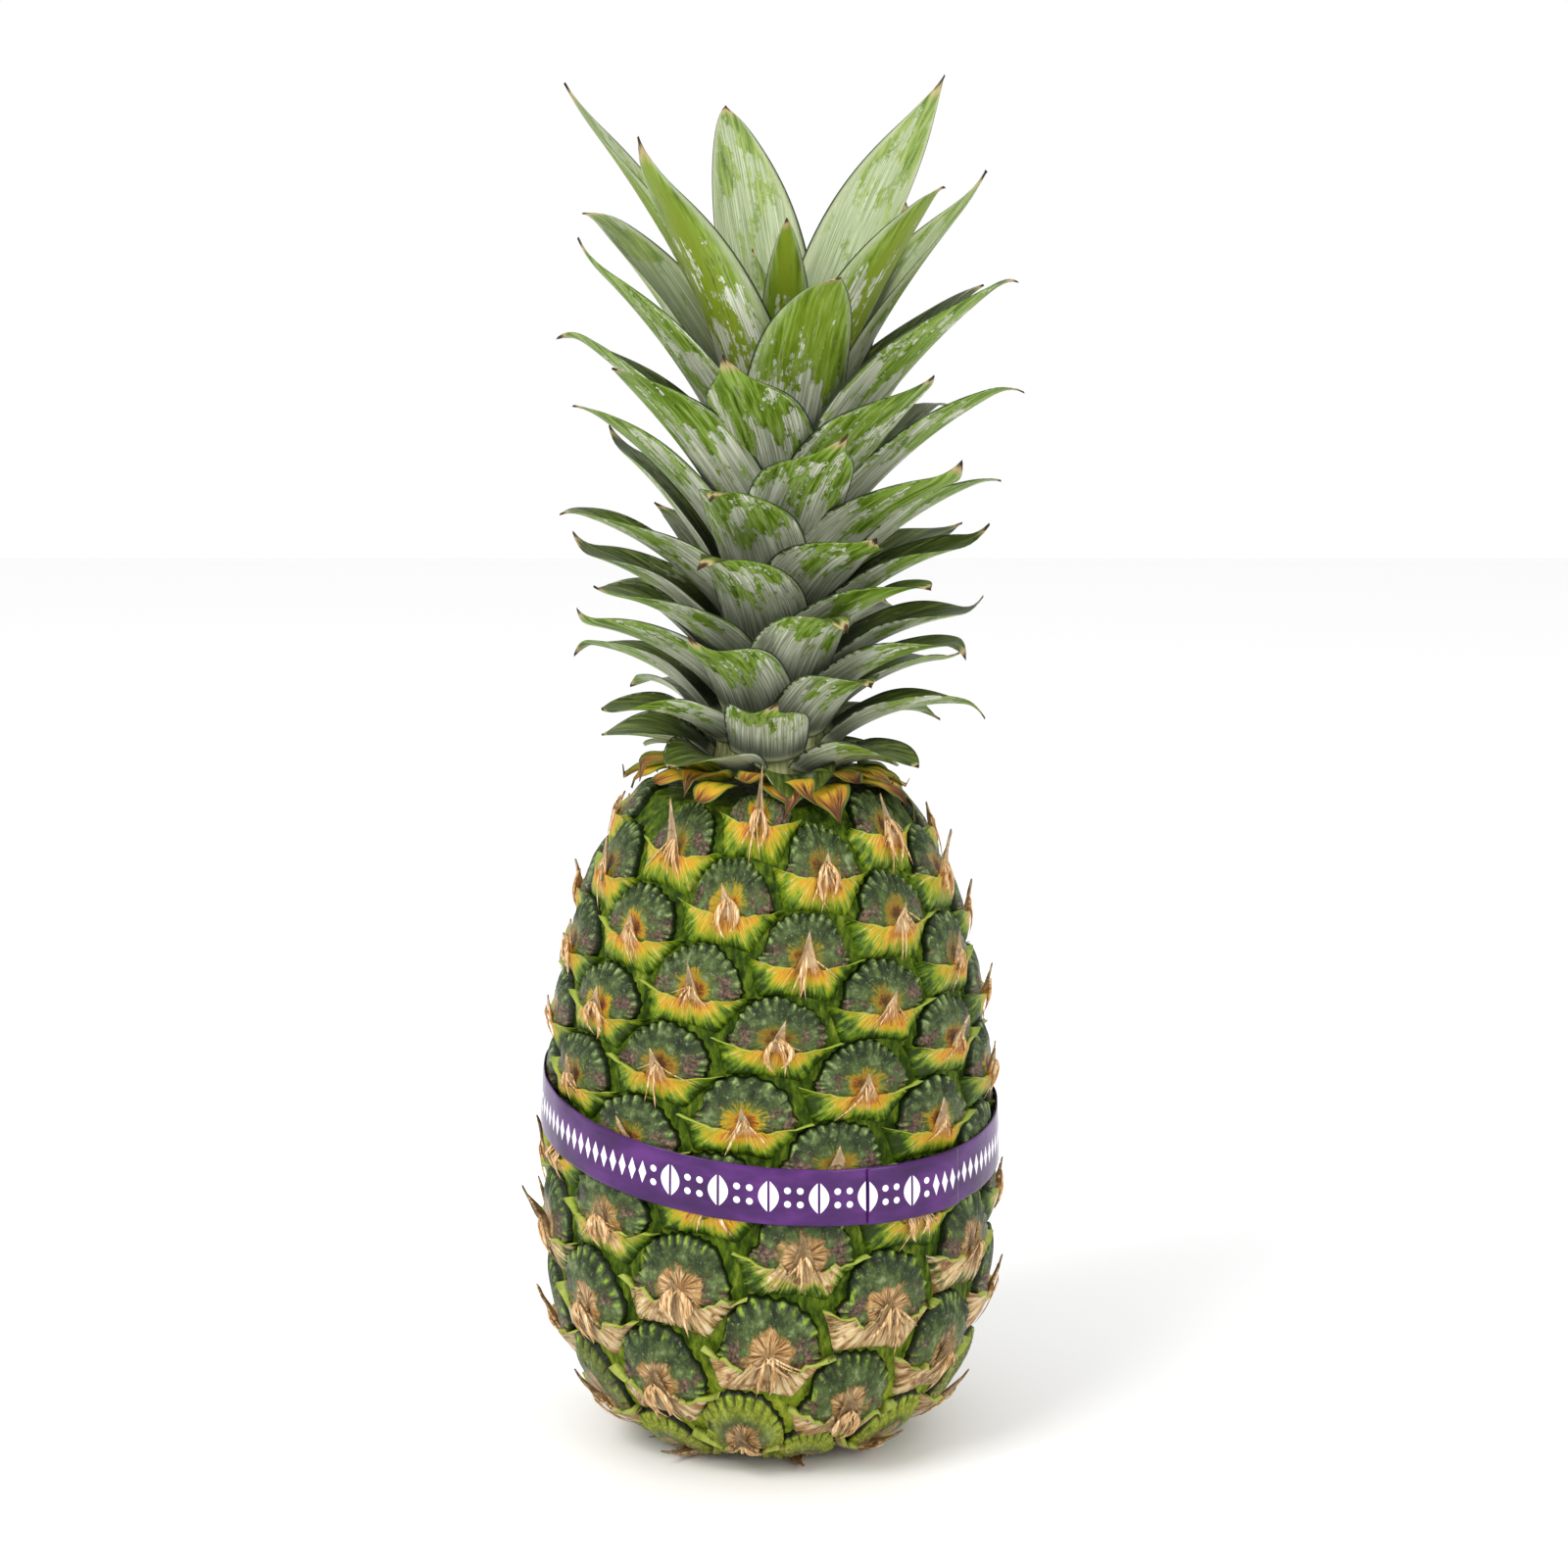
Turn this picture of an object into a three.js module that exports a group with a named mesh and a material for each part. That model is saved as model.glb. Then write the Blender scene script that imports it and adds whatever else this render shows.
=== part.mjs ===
// A pineapple that stands on its base: the fruit with its spiral of eyes, the cut end of its stalk,
// a band of plastic tape round the waist, and the crown, a short stem that carries a spiral of leaves.
// Millimetres, +Z up. The origin is the middle of the cut stalk, on the surface that the fruit stands on.
// -Y is the front.

import * as THREE from "three";

// ---- Driving dimensions ----

const fruitRadius = 58.7; // at the waist, over the tops of the eyes
const fruitHeight = 173;
const waistHeight = 62;
const shoulderReach = 122; // from the waist to where the skin would close above
const baseReach = 64; // and below
const shoulderFullness = 0.42;
const baseFullness = 0.32;

const stalkRadius = 13;
const stalkDepth = 14;
const seatGap = 0.3; // between the stalk and the fruit round it
const baseFlat = 4; // the flat base ends this far inside the lowest skin

const eyeRise = 1.5; // rise along the skin from one eye to the next
const eyeRiseBelow = 1.1; // more than that at the base, where the eyes are biggest
const eyeRiseAbove = 0.3; // and more again for each 40 mm above the upper rows
const lowerEyesEnd = 90;
const upperEyesStart = 120;
const eyeTurn = -137.825; // degrees from one eye to the next
const firstEyeHeight = 1.5;
const firstEyeAngle = 146.5; // degrees from +X
const eyeGroove = 2.2; // how deep the skin sinks between the eyes

const bandWidth = 14.3;
const bandThickness = 0.45;
const bandGap = 0.35; // between the tape and the tops of the eyes
const bandHeight = 86.3; // at the axis
const bandRise = new THREE.Vector2(-5.1, 7.2); // the band's extra height towards +X and towards +Y

const crownLean = 2.6; // degrees towards +X
const crownGap = 1; // the stem's foot stands this far above the fruit
const stemRadius = 14.5;
const stemTopRadius = 4.2;
const stemHeight = 82; // to the last leaf's foot
const budHeight = 12; // the closed tip above it

const leafCount = 56;
const leafTurn = -137.508; // degrees from one leaf to the next
const firstLeafAngle = 134.9; // degrees from the front, towards +X
const leafThickness = 1.5;
const leafGap = 0.5; // between the stem and a leaf's foot
const lowestFoot = 2; // height of the first leaf's foot on the stem
const leafReach = 56; // from the crown's axis to a leaf's tip
const lowestTip = 14; // height of the lowest tip over the stem's foot
const tipRise = 156; // how much higher the youngest leaf's tip is
const tipRisePower = 1.4; // above 1, the lower tips lie closer together
const lowestBend = 26; // half of a leaf's turn from foot to tip, in degrees
const highestBend = 11;
const leafWidth = 23; // near the foot, before the outline's taper
const middleLeafWidth = 27.5; // of the leaves halfway up the crown
const flattestGutter = 16; // largest radius that a leaf is rolled to across it

// ---- The fruit ----

// The radius over the tops of the eyes at a height.
function skinRadius(height) {
  const above = height > waistHeight;
  const reach = above ? shoulderReach : baseReach;
  const fullness = above ? shoulderFullness : baseFullness;
  const share = Math.abs(height - waistHeight) / reach;
  return fruitRadius * (1 - share ** 2.5) ** fullness;
}

// Millimetres along the skin for each millimetre of height.
function skinStretch(height) {
  const slope = skinRadius(height + 0.05) - skinRadius(height - 0.05);
  return Math.hypot(1, slope / 0.1);
}

function eyeRiseAt(height) {
  const below = Math.max(0, 1 - height / lowerEyesEnd);
  const above = Math.max(0, height - upperEyesStart) / 40;
  return eyeRise + eyeRiseBelow * below + eyeRiseAbove * above;
}

// The eyes follow one spiral up the skin.
function placeEyes() {
  const eyes = [];
  let height = firstEyeHeight;
  while (height < fruitHeight - 2) {
    eyes.push({ height, angle: THREE.MathUtils.degToRad(firstEyeAngle + eyeTurn * eyes.length) });
    height += eyeRiseAt(height) / skinStretch(height);
  }
  return eyes;
}

// How far a point of the skin is from the nearest eye's middle, as a share of half the pitch between eyes.
function distanceToEye(eyes, angle, height) {
  const radius = skinRadius(height);
  const eyeArea = 2 * Math.PI * radius * eyeRiseAt(height);
  const halfPitch = 0.5 * Math.sqrt((2 / Math.sqrt(3)) * eyeArea); // the eyes pack as hexagons
  const distances = eyes.map((eye) => {
    const turn = Math.atan2(Math.sin(angle - eye.angle), Math.cos(angle - eye.angle));
    return Math.hypot(turn * radius, (height - eye.height) * skinStretch(height));
  });
  return Math.min(...distances) / halfPitch;
}

function makeFruit() {
  const rows = 33;
  const outline = [
    new THREE.Vector2(0, stalkDepth + seatGap),
    new THREE.Vector2(stalkRadius + seatGap, stalkDepth + seatGap),
    new THREE.Vector2(stalkRadius + seatGap, 0),
    new THREE.Vector2(skinRadius(0) - baseFlat, 0),
  ];
  for (let row = 0; row <= rows; row++) {
    const share = (1 - Math.cos((Math.PI * row) / rows)) / 2; // closer rows at the shoulder and the base
    const height = 1 + (fruitHeight - 1) * (0.45 * share + (0.55 * row) / rows);
    outline.push(new THREE.Vector2(skinRadius(height), height));
  }
  outline.push(new THREE.Vector2(0, fruitHeight));

  const fruit = new THREE.LatheGeometry(outline, 64).rotateX(Math.PI / 2);
  const eyes = placeEyes();
  const position = fruit.getAttribute("position");
  const point = new THREE.Vector3();
  for (let i = 0; i < position.count; i++) {
    point.fromBufferAttribute(position, i);
    const radius = Math.hypot(point.x, point.y);
    const onSkin = point.z > 0.5 && radius > stalkRadius + 1;
    if (!onSkin) continue;
    const away = distanceToEye(eyes, Math.atan2(point.y, point.x), point.z);
    const sunk = radius - eyeGroove * THREE.MathUtils.smoothstep(away, 0.35, 1.1);
    position.setXYZ(i, (point.x * sunk) / radius, (point.y * sunk) / radius, point.z);
  }
  return fruit;
}

function makeStalkEnd() {
  return new THREE.CylinderGeometry(stalkRadius, stalkRadius, stalkDepth, 32)
    .rotateX(Math.PI / 2)
    .translate(0, 0, stalkDepth / 2);
}

// ---- The band ----

// A ring of tape that is pulled tight over the eyes and sits at a slant.
function makeBand() {
  const inner = fruitRadius + bandGap;
  const outer = inner + bandThickness;
  const low = bandHeight - bandWidth / 2;
  const high = bandHeight + bandWidth / 2;
  const section = [
    new THREE.Vector2(inner, high),
    new THREE.Vector2(inner, low),
    new THREE.Vector2(outer, low),
    new THREE.Vector2(outer, high),
    new THREE.Vector2(inner, high),
  ];
  const band = new THREE.LatheGeometry(section, 60).rotateX(Math.PI / 2);
  const position = band.getAttribute("position");
  const point = new THREE.Vector3();
  for (let i = 0; i < position.count; i++) {
    point.fromBufferAttribute(position, i);
    const height = point.z + (bandRise.x * point.x + bandRise.y * point.y) / fruitRadius;
    const narrower = Math.min(skinRadius(height) / fruitRadius, 1);
    position.setXYZ(i, point.x * narrower, point.y * narrower, height);
  }
  return band;
}

// ---- The crown ----

function stemRadiusAt(height) {
  return THREE.MathUtils.lerp(stemRadius, stemTopRadius, height / stemHeight);
}

function makeCrownStem() {
  const outline = [new THREE.Vector2(0, 0), new THREE.Vector2(stemRadius, 0)];
  const steps = 6;
  for (let step = 1; step <= steps; step++) {
    const height = (stemHeight * step) / steps;
    outline.push(new THREE.Vector2(stemRadiusAt(height), height));
  }
  outline.push(new THREE.Vector2(stemTopRadius * 0.7, stemHeight + budHeight * 0.6));
  outline.push(new THREE.Vector2(0, stemHeight + budHeight));
  return new THREE.LatheGeometry(outline, 20).rotateX(Math.PI / 2);
}

// An even, repeatable scatter from -1 to 1 for leaf n.
function scatter(n, rate) {
  return 2 * ((n * rate) % 1) - 1;
}

// Leaves that grew out of line with the spiral. turn is in degrees, reach and rise in mm.
const oddLeaves = {
  1: { reach: -14, rise: 4 },
  4: { rise: -2 },
  6: { reach: -8, rise: 7 },
  9: { reach: -8, rise: 9 },
  11: { rise: 6 },
  14: { turn: 5, rise: 4 },
  17: { turn: -8 },
  24: { rise: -4 },
  27: { rise: -10 },
  29: { rise: -4 },
  30: { turn: 12, rise: -4 },
  32: { rise: -8 },
  33: { reach: -6, rise: -2 },
  35: { turn: 8, rise: -15 },
  36: { rise: -6 },
  38: { rise: -6 },
  40: { turn: 4, rise: -14 },
  41: { rise: -8 },
  43: { reach: -4, rise: -22 },
  45: { rise: -3 },
  46: { rise: -4 },
  48: { turn: -6, reach: -8, rise: -14 },
  49: { turn: 3, rise: -9 },
  50: { turn: 4, reach: -10 },
  51: { turn: -5, reach: 3, rise: 2 },
  52: { turn: 12, reach: 4, rise: 9 },
  53: { turn: 7, reach: -4, rise: -8 },
  55: { turn: 1, reach: -5, rise: 4 },
};

// The shape of leaf n, from the lowest at 0. A leaf's midline is an arc in the plane of its own angle.
function leafForm(n) {
  const odd = { turn: 0, reach: 0, rise: 0, ...oddLeaves[n] };
  const age = (n + 2) / (leafCount + 1);
  const foot = lowestFoot + (stemHeight - lowestFoot) * age ** 1.1;
  const footRadius = stemRadiusAt(foot) + leafGap + leafThickness / 2;
  const tipRadius = leafReach + 4 * scatter(n, 0.7549) + odd.reach;
  const tipHeight = lowestTip + tipRise * age ** tipRisePower + 3 * scatter(n, 0.5698) + odd.rise;
  const across = tipRadius - footRadius;
  const up = tipHeight - foot;
  const bend = THREE.MathUtils.degToRad(THREE.MathUtils.lerp(lowestBend, highestBend, age));
  const chord = Math.hypot(across, up);
  return {
    angle: firstLeafAngle + leafTurn * n + 4 * scatter(n, 0.3247) + odd.turn,
    foot,
    footRadius,
    lean: Math.atan2(across, up), // from vertical, at the middle of the arc
    bend,
    length: (chord * bend) / Math.sin(bend),
    width: THREE.MathUtils.lerp(leafWidth, middleLeafWidth, Math.sin(Math.PI * 0.75 * age)),
    sweep: 4 * scatter(n, 0.6823), // sideways, at the tip
    twist: THREE.MathUtils.degToRad(14 * scatter(n, 0.4142)),
  };
}

// A blade is a cone whose base is the foot and whose point is the tip, flattened, bent along the arc and
// rolled into a gutter across it.
function makeLeaf(form) {
  const blade = new THREE.ConeGeometry(1, 1, 8, 7);
  const position = blade.getAttribute("position");
  const point = new THREE.Vector3();
  const firstLean = form.lean - form.bend;
  for (let i = 0; i < position.count; i++) {
    point.fromBufferAttribute(position, i);
    const along = point.y + 0.5;
    const round = Math.atan2(point.x, point.z) / Math.PI; // -1 to 1 round the cone
    const isFootMiddle = along < 0.01 && Math.hypot(point.x, point.z) < 0.01;
    const side = isFootMiddle ? 0 : 1 - 2 * Math.abs(round);
    const face = isFootMiddle ? 0 : Math.sign(round);

    const lean = firstLean + 2 * form.bend * along;
    const scale = form.length / (2 * form.bend);
    const radius = form.footRadius + scale * (Math.cos(firstLean) - Math.cos(lean));
    const height = form.foot + scale * (Math.sin(lean) - Math.sin(firstLean));

    const outline = (0.85 + along) * (1 - along ** 1.6) ** 0.9; // widest a third of the way up
    const width = Math.min(form.width * outline, 1.65 * radius); // a foot clasps half of the stem
    const gutter = Math.min(radius / Math.max(Math.cos(lean), 0.3), flattestGutter);
    const across = (side * width) / 2;
    const thickness = leafThickness * (1 - 0.6 * along) * (1 - side * side);
    const sideways = gutter * Math.sin(across / gutter);
    const lifted = gutter * (1 - Math.cos(across / gutter)) + (face * thickness) / 2;

    const roll = form.twist * along;
    const rolledSideways = sideways * Math.cos(roll) - lifted * Math.sin(roll);
    const rolledUp = sideways * Math.sin(roll) + lifted * Math.cos(roll);
    position.setXYZ(
      i,
      radius - rolledUp * Math.cos(lean),
      rolledSideways + form.sweep * along * along,
      height + rolledUp * Math.sin(lean),
    );
  }
  return blade;
}

// ---- Assembly ----

const skinColour = new THREE.MeshStandardMaterial({ color: 0x5c7030, roughness: 0.6, metalness: 0 });
const stalkColour = new THREE.MeshStandardMaterial({ color: 0xb59a6a, roughness: 0.9, metalness: 0 });
const bandColour = new THREE.MeshStandardMaterial({ color: 0x532a7c, roughness: 0.35, metalness: 0 });
const stemColour = new THREE.MeshStandardMaterial({ color: 0x9aa078, roughness: 0.8, metalness: 0 });
const leafColour = new THREE.MeshStandardMaterial({ color: 0x6f8f4a, roughness: 0.55, metalness: 0 });

function piece(name, geometry, material) {
  const mesh = new THREE.Mesh(geometry, material);
  mesh.name = name;
  return mesh;
}

const crown = new THREE.Group();
crown.position.z = fruitHeight + crownGap;
crown.rotation.y = THREE.MathUtils.degToRad(crownLean);
crown.add(piece("crown_stem", makeCrownStem(), stemColour));
for (let n = 0; n < leafCount; n++) {
  const form = leafForm(n);
  const leaf = piece(`leaf_${String(n + 1).padStart(2, "0")}`, makeLeaf(form), leafColour);
  leaf.rotation.z = THREE.MathUtils.degToRad(form.angle - 90);
  crown.add(leaf);
}

const pineapple = new THREE.Group();
pineapple.add(piece("fruit", makeFruit(), skinColour));
pineapple.add(piece("stalk_end", makeStalkEnd(), stalkColour));
pineapple.add(piece("tape_band", makeBand(), bandColour));
pineapple.add(crown);

export default pineapple;
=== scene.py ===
# %% [markdown]
# # A pineapple round its imported model
#
# The imported model gives the places: the fruit, its cut stalk, the band of tape, the crown's stem and 56
# leaves. This lesson gives each of them its real surface. It works in the order that the fruit is put
# together: the skin's outline, the eyes that sit on it, the crown, the tape, and then the light.

# %% Load the frame and read the boxes of its parts
import math

import bmesh
import bpy
import mathutils
import numpy as np
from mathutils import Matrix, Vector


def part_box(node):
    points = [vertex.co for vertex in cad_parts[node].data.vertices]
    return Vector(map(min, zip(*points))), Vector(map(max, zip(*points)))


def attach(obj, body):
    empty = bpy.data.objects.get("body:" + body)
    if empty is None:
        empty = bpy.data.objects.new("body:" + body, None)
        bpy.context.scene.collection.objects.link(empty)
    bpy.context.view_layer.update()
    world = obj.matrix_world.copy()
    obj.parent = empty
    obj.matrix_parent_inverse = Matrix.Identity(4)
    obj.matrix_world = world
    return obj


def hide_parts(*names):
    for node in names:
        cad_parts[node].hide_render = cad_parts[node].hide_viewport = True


MM = 0.001
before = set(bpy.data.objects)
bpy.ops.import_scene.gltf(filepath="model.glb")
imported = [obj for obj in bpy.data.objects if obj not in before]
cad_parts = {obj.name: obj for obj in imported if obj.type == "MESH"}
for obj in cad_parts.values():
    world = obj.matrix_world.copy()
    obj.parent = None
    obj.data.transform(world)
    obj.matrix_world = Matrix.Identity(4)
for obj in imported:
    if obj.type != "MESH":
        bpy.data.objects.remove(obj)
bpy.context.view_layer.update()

# %% [markdown]
# Colours are picked as sRGB hex values, the way a paint chart gives them. Shaders calculate in linear
# light, so one function turns every hex value to linear.


# %% Colour and node helpers
def colour(code):
    """The linear RGBA of an sRGB hex value such as "#5c7030"."""
    parts = [int(code[i : i + 2], 16) / 255 for i in (1, 3, 5)]
    linear = [p / 12.92 if p <= 0.04045 else ((p + 0.055) / 1.055) ** 2.4 for p in parts]
    return (*linear, 1.0)


# the setting that a node's second word gives, and the inputs and outputs that aren't the first ones
MAIN_SETTING = {
    "Attribute": "attribute_name", "MapRange": "interpolation_type", "Math": "operation", "Mix": "data_type",
    "UVMap": "uv_map",
}
INPUTS = {"Mix RGBA": (0, 6, 7), "Mix FLOAT": (0, 2, 3)}
OUTPUTS = {"Mix RGBA": 2, "Attribute": "Fac"}


def add(tree, kind, *links, out=None, stops=(), **named):
    """Adds a node with its settings and links, and gives one of its outputs.

    The kind is the node's type and, as a second word, its main setting. The links go to the inputs in order
    or by name, and each is a socket, a number or a hex value. Stops are a colour ramp's (place, hex) pairs.
    """
    type_name, _, setting = kind.partition(" ")
    node = tree.nodes.new("ShaderNode" + type_name)
    if setting:
        setattr(node, MAIN_SETTING[type_name], setting)
    if stops:
        marks = node.color_ramp.elements
        for place, code in stops[2:]:
            marks.new(place)
        for mark, (place, code) in zip(marks, sorted(stops)):
            mark.position, mark.color = place, colour(code)
    places = INPUTS.get(kind, range(len(links)))
    for place, value in [*zip(places, links), *named.items()]:
        if isinstance(value, bpy.types.NodeSocket):
            tree.links.new(value, node.inputs[place])
        else:
            node.inputs[place].default_value = colour(value) if isinstance(value, str) else value
    if out is None:
        out = OUTPUTS.get(kind, OUTPUTS.get(type_name, 0))
    return node.outputs[out]


def stretched_noise(tree, places, scales, detail=3.0, rough=0.6):
    """Noise, 0 to 1, over three coordinates, each with its own scale."""
    place = add(tree, "Mapping", add(tree, "CombineXYZ", *places), Scale=scales)
    return add(tree, "TexNoise", place, Scale=1.0, Detail=detail, Roughness=rough)


def finish(tree, shader, base, rough, bump, depth, strength=0.6, shine=0.5):
    """Links colour, roughness and a bump of the given depth in metres, and sets how much it shines."""
    shader.inputs["Specular IOR Level"].default_value = shine
    tree.links.new(base, shader.inputs["Base Color"])
    if isinstance(rough, bpy.types.NodeSocket):
        tree.links.new(rough, shader.inputs["Roughness"])
    else:
        shader.inputs["Roughness"].default_value = rough
    raised = add(tree, "Bump", Height=bump, Distance=depth, Strength=strength)
    tree.links.new(raised, shader.inputs["Normal"])


def new_material(name):
    """An empty material, its node tree and its Principled shader."""
    material = bpy.data.materials.new(name)
    material.use_nodes = True
    return material, material.node_tree, material.node_tree.nodes["Principled BSDF"]


# %% [markdown]
# Every crooked thing on a fruit is crooked in its own way. `scatter` gives an even, repeatable spread from
# -1 to 1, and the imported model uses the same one, so the detailed leaves lie where the plain ones are.


# %% Scatter
def scatter(n, rate):
    return 2 * ((n * rate) % 1) - 1


def smoothstep(x, low, high):
    t = np.clip((x - low) / (high - low), 0, 1)
    return t * t * (3 - 2 * t)


def piece(name, mesh, material, *nodes, slot=None):
    """Makes an object of a mesh, rides it on the part's only body and lets it stand for CAD nodes."""
    thing = bpy.data.objects.new(name, mesh)
    bpy.context.scene.collection.objects.link(thing)
    mesh.materials.clear()
    mesh.materials.append(material)
    mesh.shade_smooth()
    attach(thing, "root")
    if nodes:
        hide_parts(*nodes)
    return thing


def give_numbers(mesh, **numbers):
    """Stores one number for each vertex under each name, for the materials to read."""
    for name, values in numbers.items():
        layer = mesh.attributes.new(name, "FLOAT", "POINT")
        layer.data.foreach_set("value", np.broadcast_to(values, len(mesh.vertices)).astype(np.float32))


def give_uv(mesh, name, across, along):
    """Stores a place on the piece's own surface for each vertex as a UV map."""
    corner = np.empty(len(mesh.loops), dtype=np.int32)
    mesh.loops.foreach_get("vertex_index", corner)
    uv = np.stack([across[corner], along[corner]], axis=1).astype(np.float32)
    mesh.uv_layers.new(name=name).data.foreach_set("uv", uv.ravel())


# %% [markdown]
# A spin turns a profile round the axis, as a potter's wheel does. The rind, the pads, the threads, the
# crown's stem and the cut stalk all start so.


# %% Spinning and finishing a shape
def spun(points, steps, merge=1e-6):
    """A profile of (radius, height) points, turned all the way round in steps."""
    shape = bmesh.new()
    verts = [shape.verts.new((radius, 0, height)) for radius, height in points]
    for first, second in zip(verts, verts[1:]):
        shape.edges.new((first, second))
    bmesh.ops.spin(
        shape, geom=shape.verts[:] + shape.edges[:], cent=(0, 0, 0), axis=(0, 0, 1),
        angle=math.tau, steps=steps, use_merge=True, use_duplicate=False,
    )
    bmesh.ops.remove_doubles(shape, verts=shape.verts[:], dist=merge)
    return shape


def mesh_of(name, shape):
    """The mesh of a shape, with its faces outwards."""
    bmesh.ops.recalc_face_normals(shape, faces=shape.faces[:])
    mesh = bpy.data.meshes.new(name)
    shape.to_mesh(mesh)
    shape.free()
    return mesh


def points_of(mesh):
    co = np.empty(len(mesh.vertices) * 3, dtype=np.float32)
    mesh.vertices.foreach_get("co", co)
    return co.reshape(-1, 3).astype(float)


def move_points(mesh, points):
    """Puts a mesh's vertices at points given in millimetres."""
    mesh.vertices.foreach_set("co", (points * MM).astype(np.float32).ravel())


# %% [markdown]
# ## The skin's outline
#
# The skin is a body of revolution under all its eyes: nearly flat where it stands, widest low down, and
# drawn in at the shoulders. One outline gives its radius and height at every half millimetre along the
# skin, from the cut stalk to the crown. Whatever sits on the skin is then placed by an angle, a distance
# along this outline and a height off it, so the eyes bend with the skin as the real ones do.

# %% Outline of the skin
FRUIT_RADIUS = 58.7
FRUIT_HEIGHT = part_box("fruit")[1][2] / MM
WAIST_HEIGHT = 62
SHOULDER_REACH, BASE_REACH = 122, 64
SHOULDER_FULLNESS, BASE_FULLNESS = 0.42, 0.32
STALK_RADIUS = 13.3
REST_GAP = 1.0  # the skin under the base lies this far up, and the eyes there fill the gap


def skin_radius(height):
    above = height > WAIST_HEIGHT
    share = np.abs(height - WAIST_HEIGHT) / np.where(above, SHOULDER_REACH, BASE_REACH)
    fullness = np.where(above, SHOULDER_FULLNESS, BASE_FULLNESS)
    return FRUIT_RADIUS * (1 - share**2.5) ** fullness


def skin_stretch(height):
    """Millimetres along the skin for each millimetre of height."""
    return math.hypot(1, float(skin_radius(height + 0.05) - skin_radius(height - 0.05)) / 0.1)


side_height = np.linspace(3, FRUIT_HEIGHT - 0.5, 300)
outline_radius = np.concatenate([[STALK_RADIUS, 25], skin_radius(side_height), [29, 8]])
outline_height = np.concatenate([[REST_GAP, REST_GAP], side_height, [FRUIT_HEIGHT, FRUIT_HEIGHT]])
stretches = np.hypot(np.diff(outline_radius), np.diff(outline_height))
arc = np.concatenate([[0], np.cumsum(stretches)])
side_arc = arc[2:-2]

even_arc = np.arange(0, arc[-1], 0.5)
ROUNDING_STEPS = 9  # rounds the corners of the outline over about 4 mm
window = np.ones(ROUNDING_STEPS) / ROUNDING_STEPS


def rounded(values):
    return np.convolve(
        np.pad(np.interp(even_arc, arc, values), ROUNDING_STEPS // 2, mode="edge"), window, mode="valid"
    )


skin_r, skin_z = rounded(outline_radius), rounded(outline_height)
slope_r, slope_z = np.gradient(skin_r), np.gradient(skin_z)
slope = np.hypot(slope_r, slope_z)
normal_r, normal_z = slope_z / slope, -slope_r / slope
print("along the skin", round(float(arc[-1])), "mm")


def on_skin(angle, along, out):
    """Points at an angle, a distance along the outline and a height off the skin, all in mm and radians."""
    radius = np.interp(along, even_arc, skin_r) + out * np.interp(along, even_arc, normal_r)
    height = np.interp(along, even_arc, skin_z) + out * np.interp(along, even_arc, normal_z)
    height = np.maximum(height, 0.02)  # nothing reaches below what the fruit stands on
    return np.stack([radius * np.cos(angle), radius * np.sin(angle), height], axis=-1)


# %% [markdown]
# ## The spiral of eyes
#
# Each eye is one small fruit, and the eyes follow a single spiral. Every step turns the same angle and rises
# a little, more at the base, where the eyes are biggest. That one rule makes the crossing rows that
# everyone sees on a pineapple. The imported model's plain skin uses the same rule.

# %% Places of the eyes
EYE_TURN = math.radians(-137.825)
FIRST_EYE_ANGLE = math.radians(146.5)
FIRST_EYE_HEIGHT = 1.5
EYE_RISE, EYE_RISE_BELOW, EYE_RISE_ABOVE = 1.5, 1.1, 0.3
LOWER_EYES_END, UPPER_EYES_START, UPPER_EYES_REACH = 90, 120, 40
SMALLEST_EYE = 0.45  # as a share of the widest
BASE_EYES = 7  # under the fruit, round the stalk


def eye_rise(height):
    below = max(0, 1 - height / LOWER_EYES_END)
    above = max(0, height - UPPER_EYES_START) / UPPER_EYES_REACH
    return EYE_RISE + EYE_RISE_BELOW * below + EYE_RISE_ABOVE * above


eye_heights = []
height = FIRST_EYE_HEIGHT
while height < FRUIT_HEIGHT - 2:
    eye_heights.append(height)
    height += eye_rise(height) / skin_stretch(height)

first_rise = eye_rise(0)
base_numbers = np.arange(-BASE_EYES, 0)
eye_number = np.concatenate([base_numbers, np.arange(len(eye_heights))])
eye_arc = np.interp(eye_heights, side_height, side_arc)
eye_arc = np.concatenate([eye_arc[0] + base_numbers * first_rise, eye_arc])
eye_height = np.concatenate([np.full(BASE_EYES, REST_GAP), eye_heights])
eye_angle = FIRST_EYE_ANGLE + EYE_TURN * eye_number
eye_tall = np.array([eye_rise(h) / EYE_RISE for h in eye_height])
eye_small = np.clip(np.interp(eye_arc, even_arc, skin_r) / FRUIT_RADIUS, SMALLEST_EYE, 1)
eye_dry = 1 - smoothstep(eye_height, 40, 108)  # the oldest bracts, at the base, are dead and papery
eye_upper = smoothstep(eye_height, 120, 165)  # the youngest, at the shoulders, are the yellowest
eye_lowest = 1 - smoothstep(eye_height, 6, 22)  # the first row is yellow-green
EYES = len(eye_number)
draw = np.random.default_rng(11)
eye_seed = draw.random(EYES)
print("eyes", EYES)

# The eyes are shaped on a flat patch of millimetres, x to the right and y up. One millimetre of x is the
# same turn wherever the eye is, and a true one at this radius, so an eye narrows with the skin.
PATCH_RADIUS = 57.3

# %% [markdown]
# The tape presses on the eyes below it, so nothing there stands higher than the tape's inner face.

# %% Room for the tape
BAND_HEIGHT = 86.3
BAND_RISE_X, BAND_RISE_Y = -5.1, 7.2
BAND_WIDTH = 14.3


def band_middle(angle):
    return BAND_HEIGHT + BAND_RISE_X * np.cos(angle) + BAND_RISE_Y * np.sin(angle)


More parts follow.
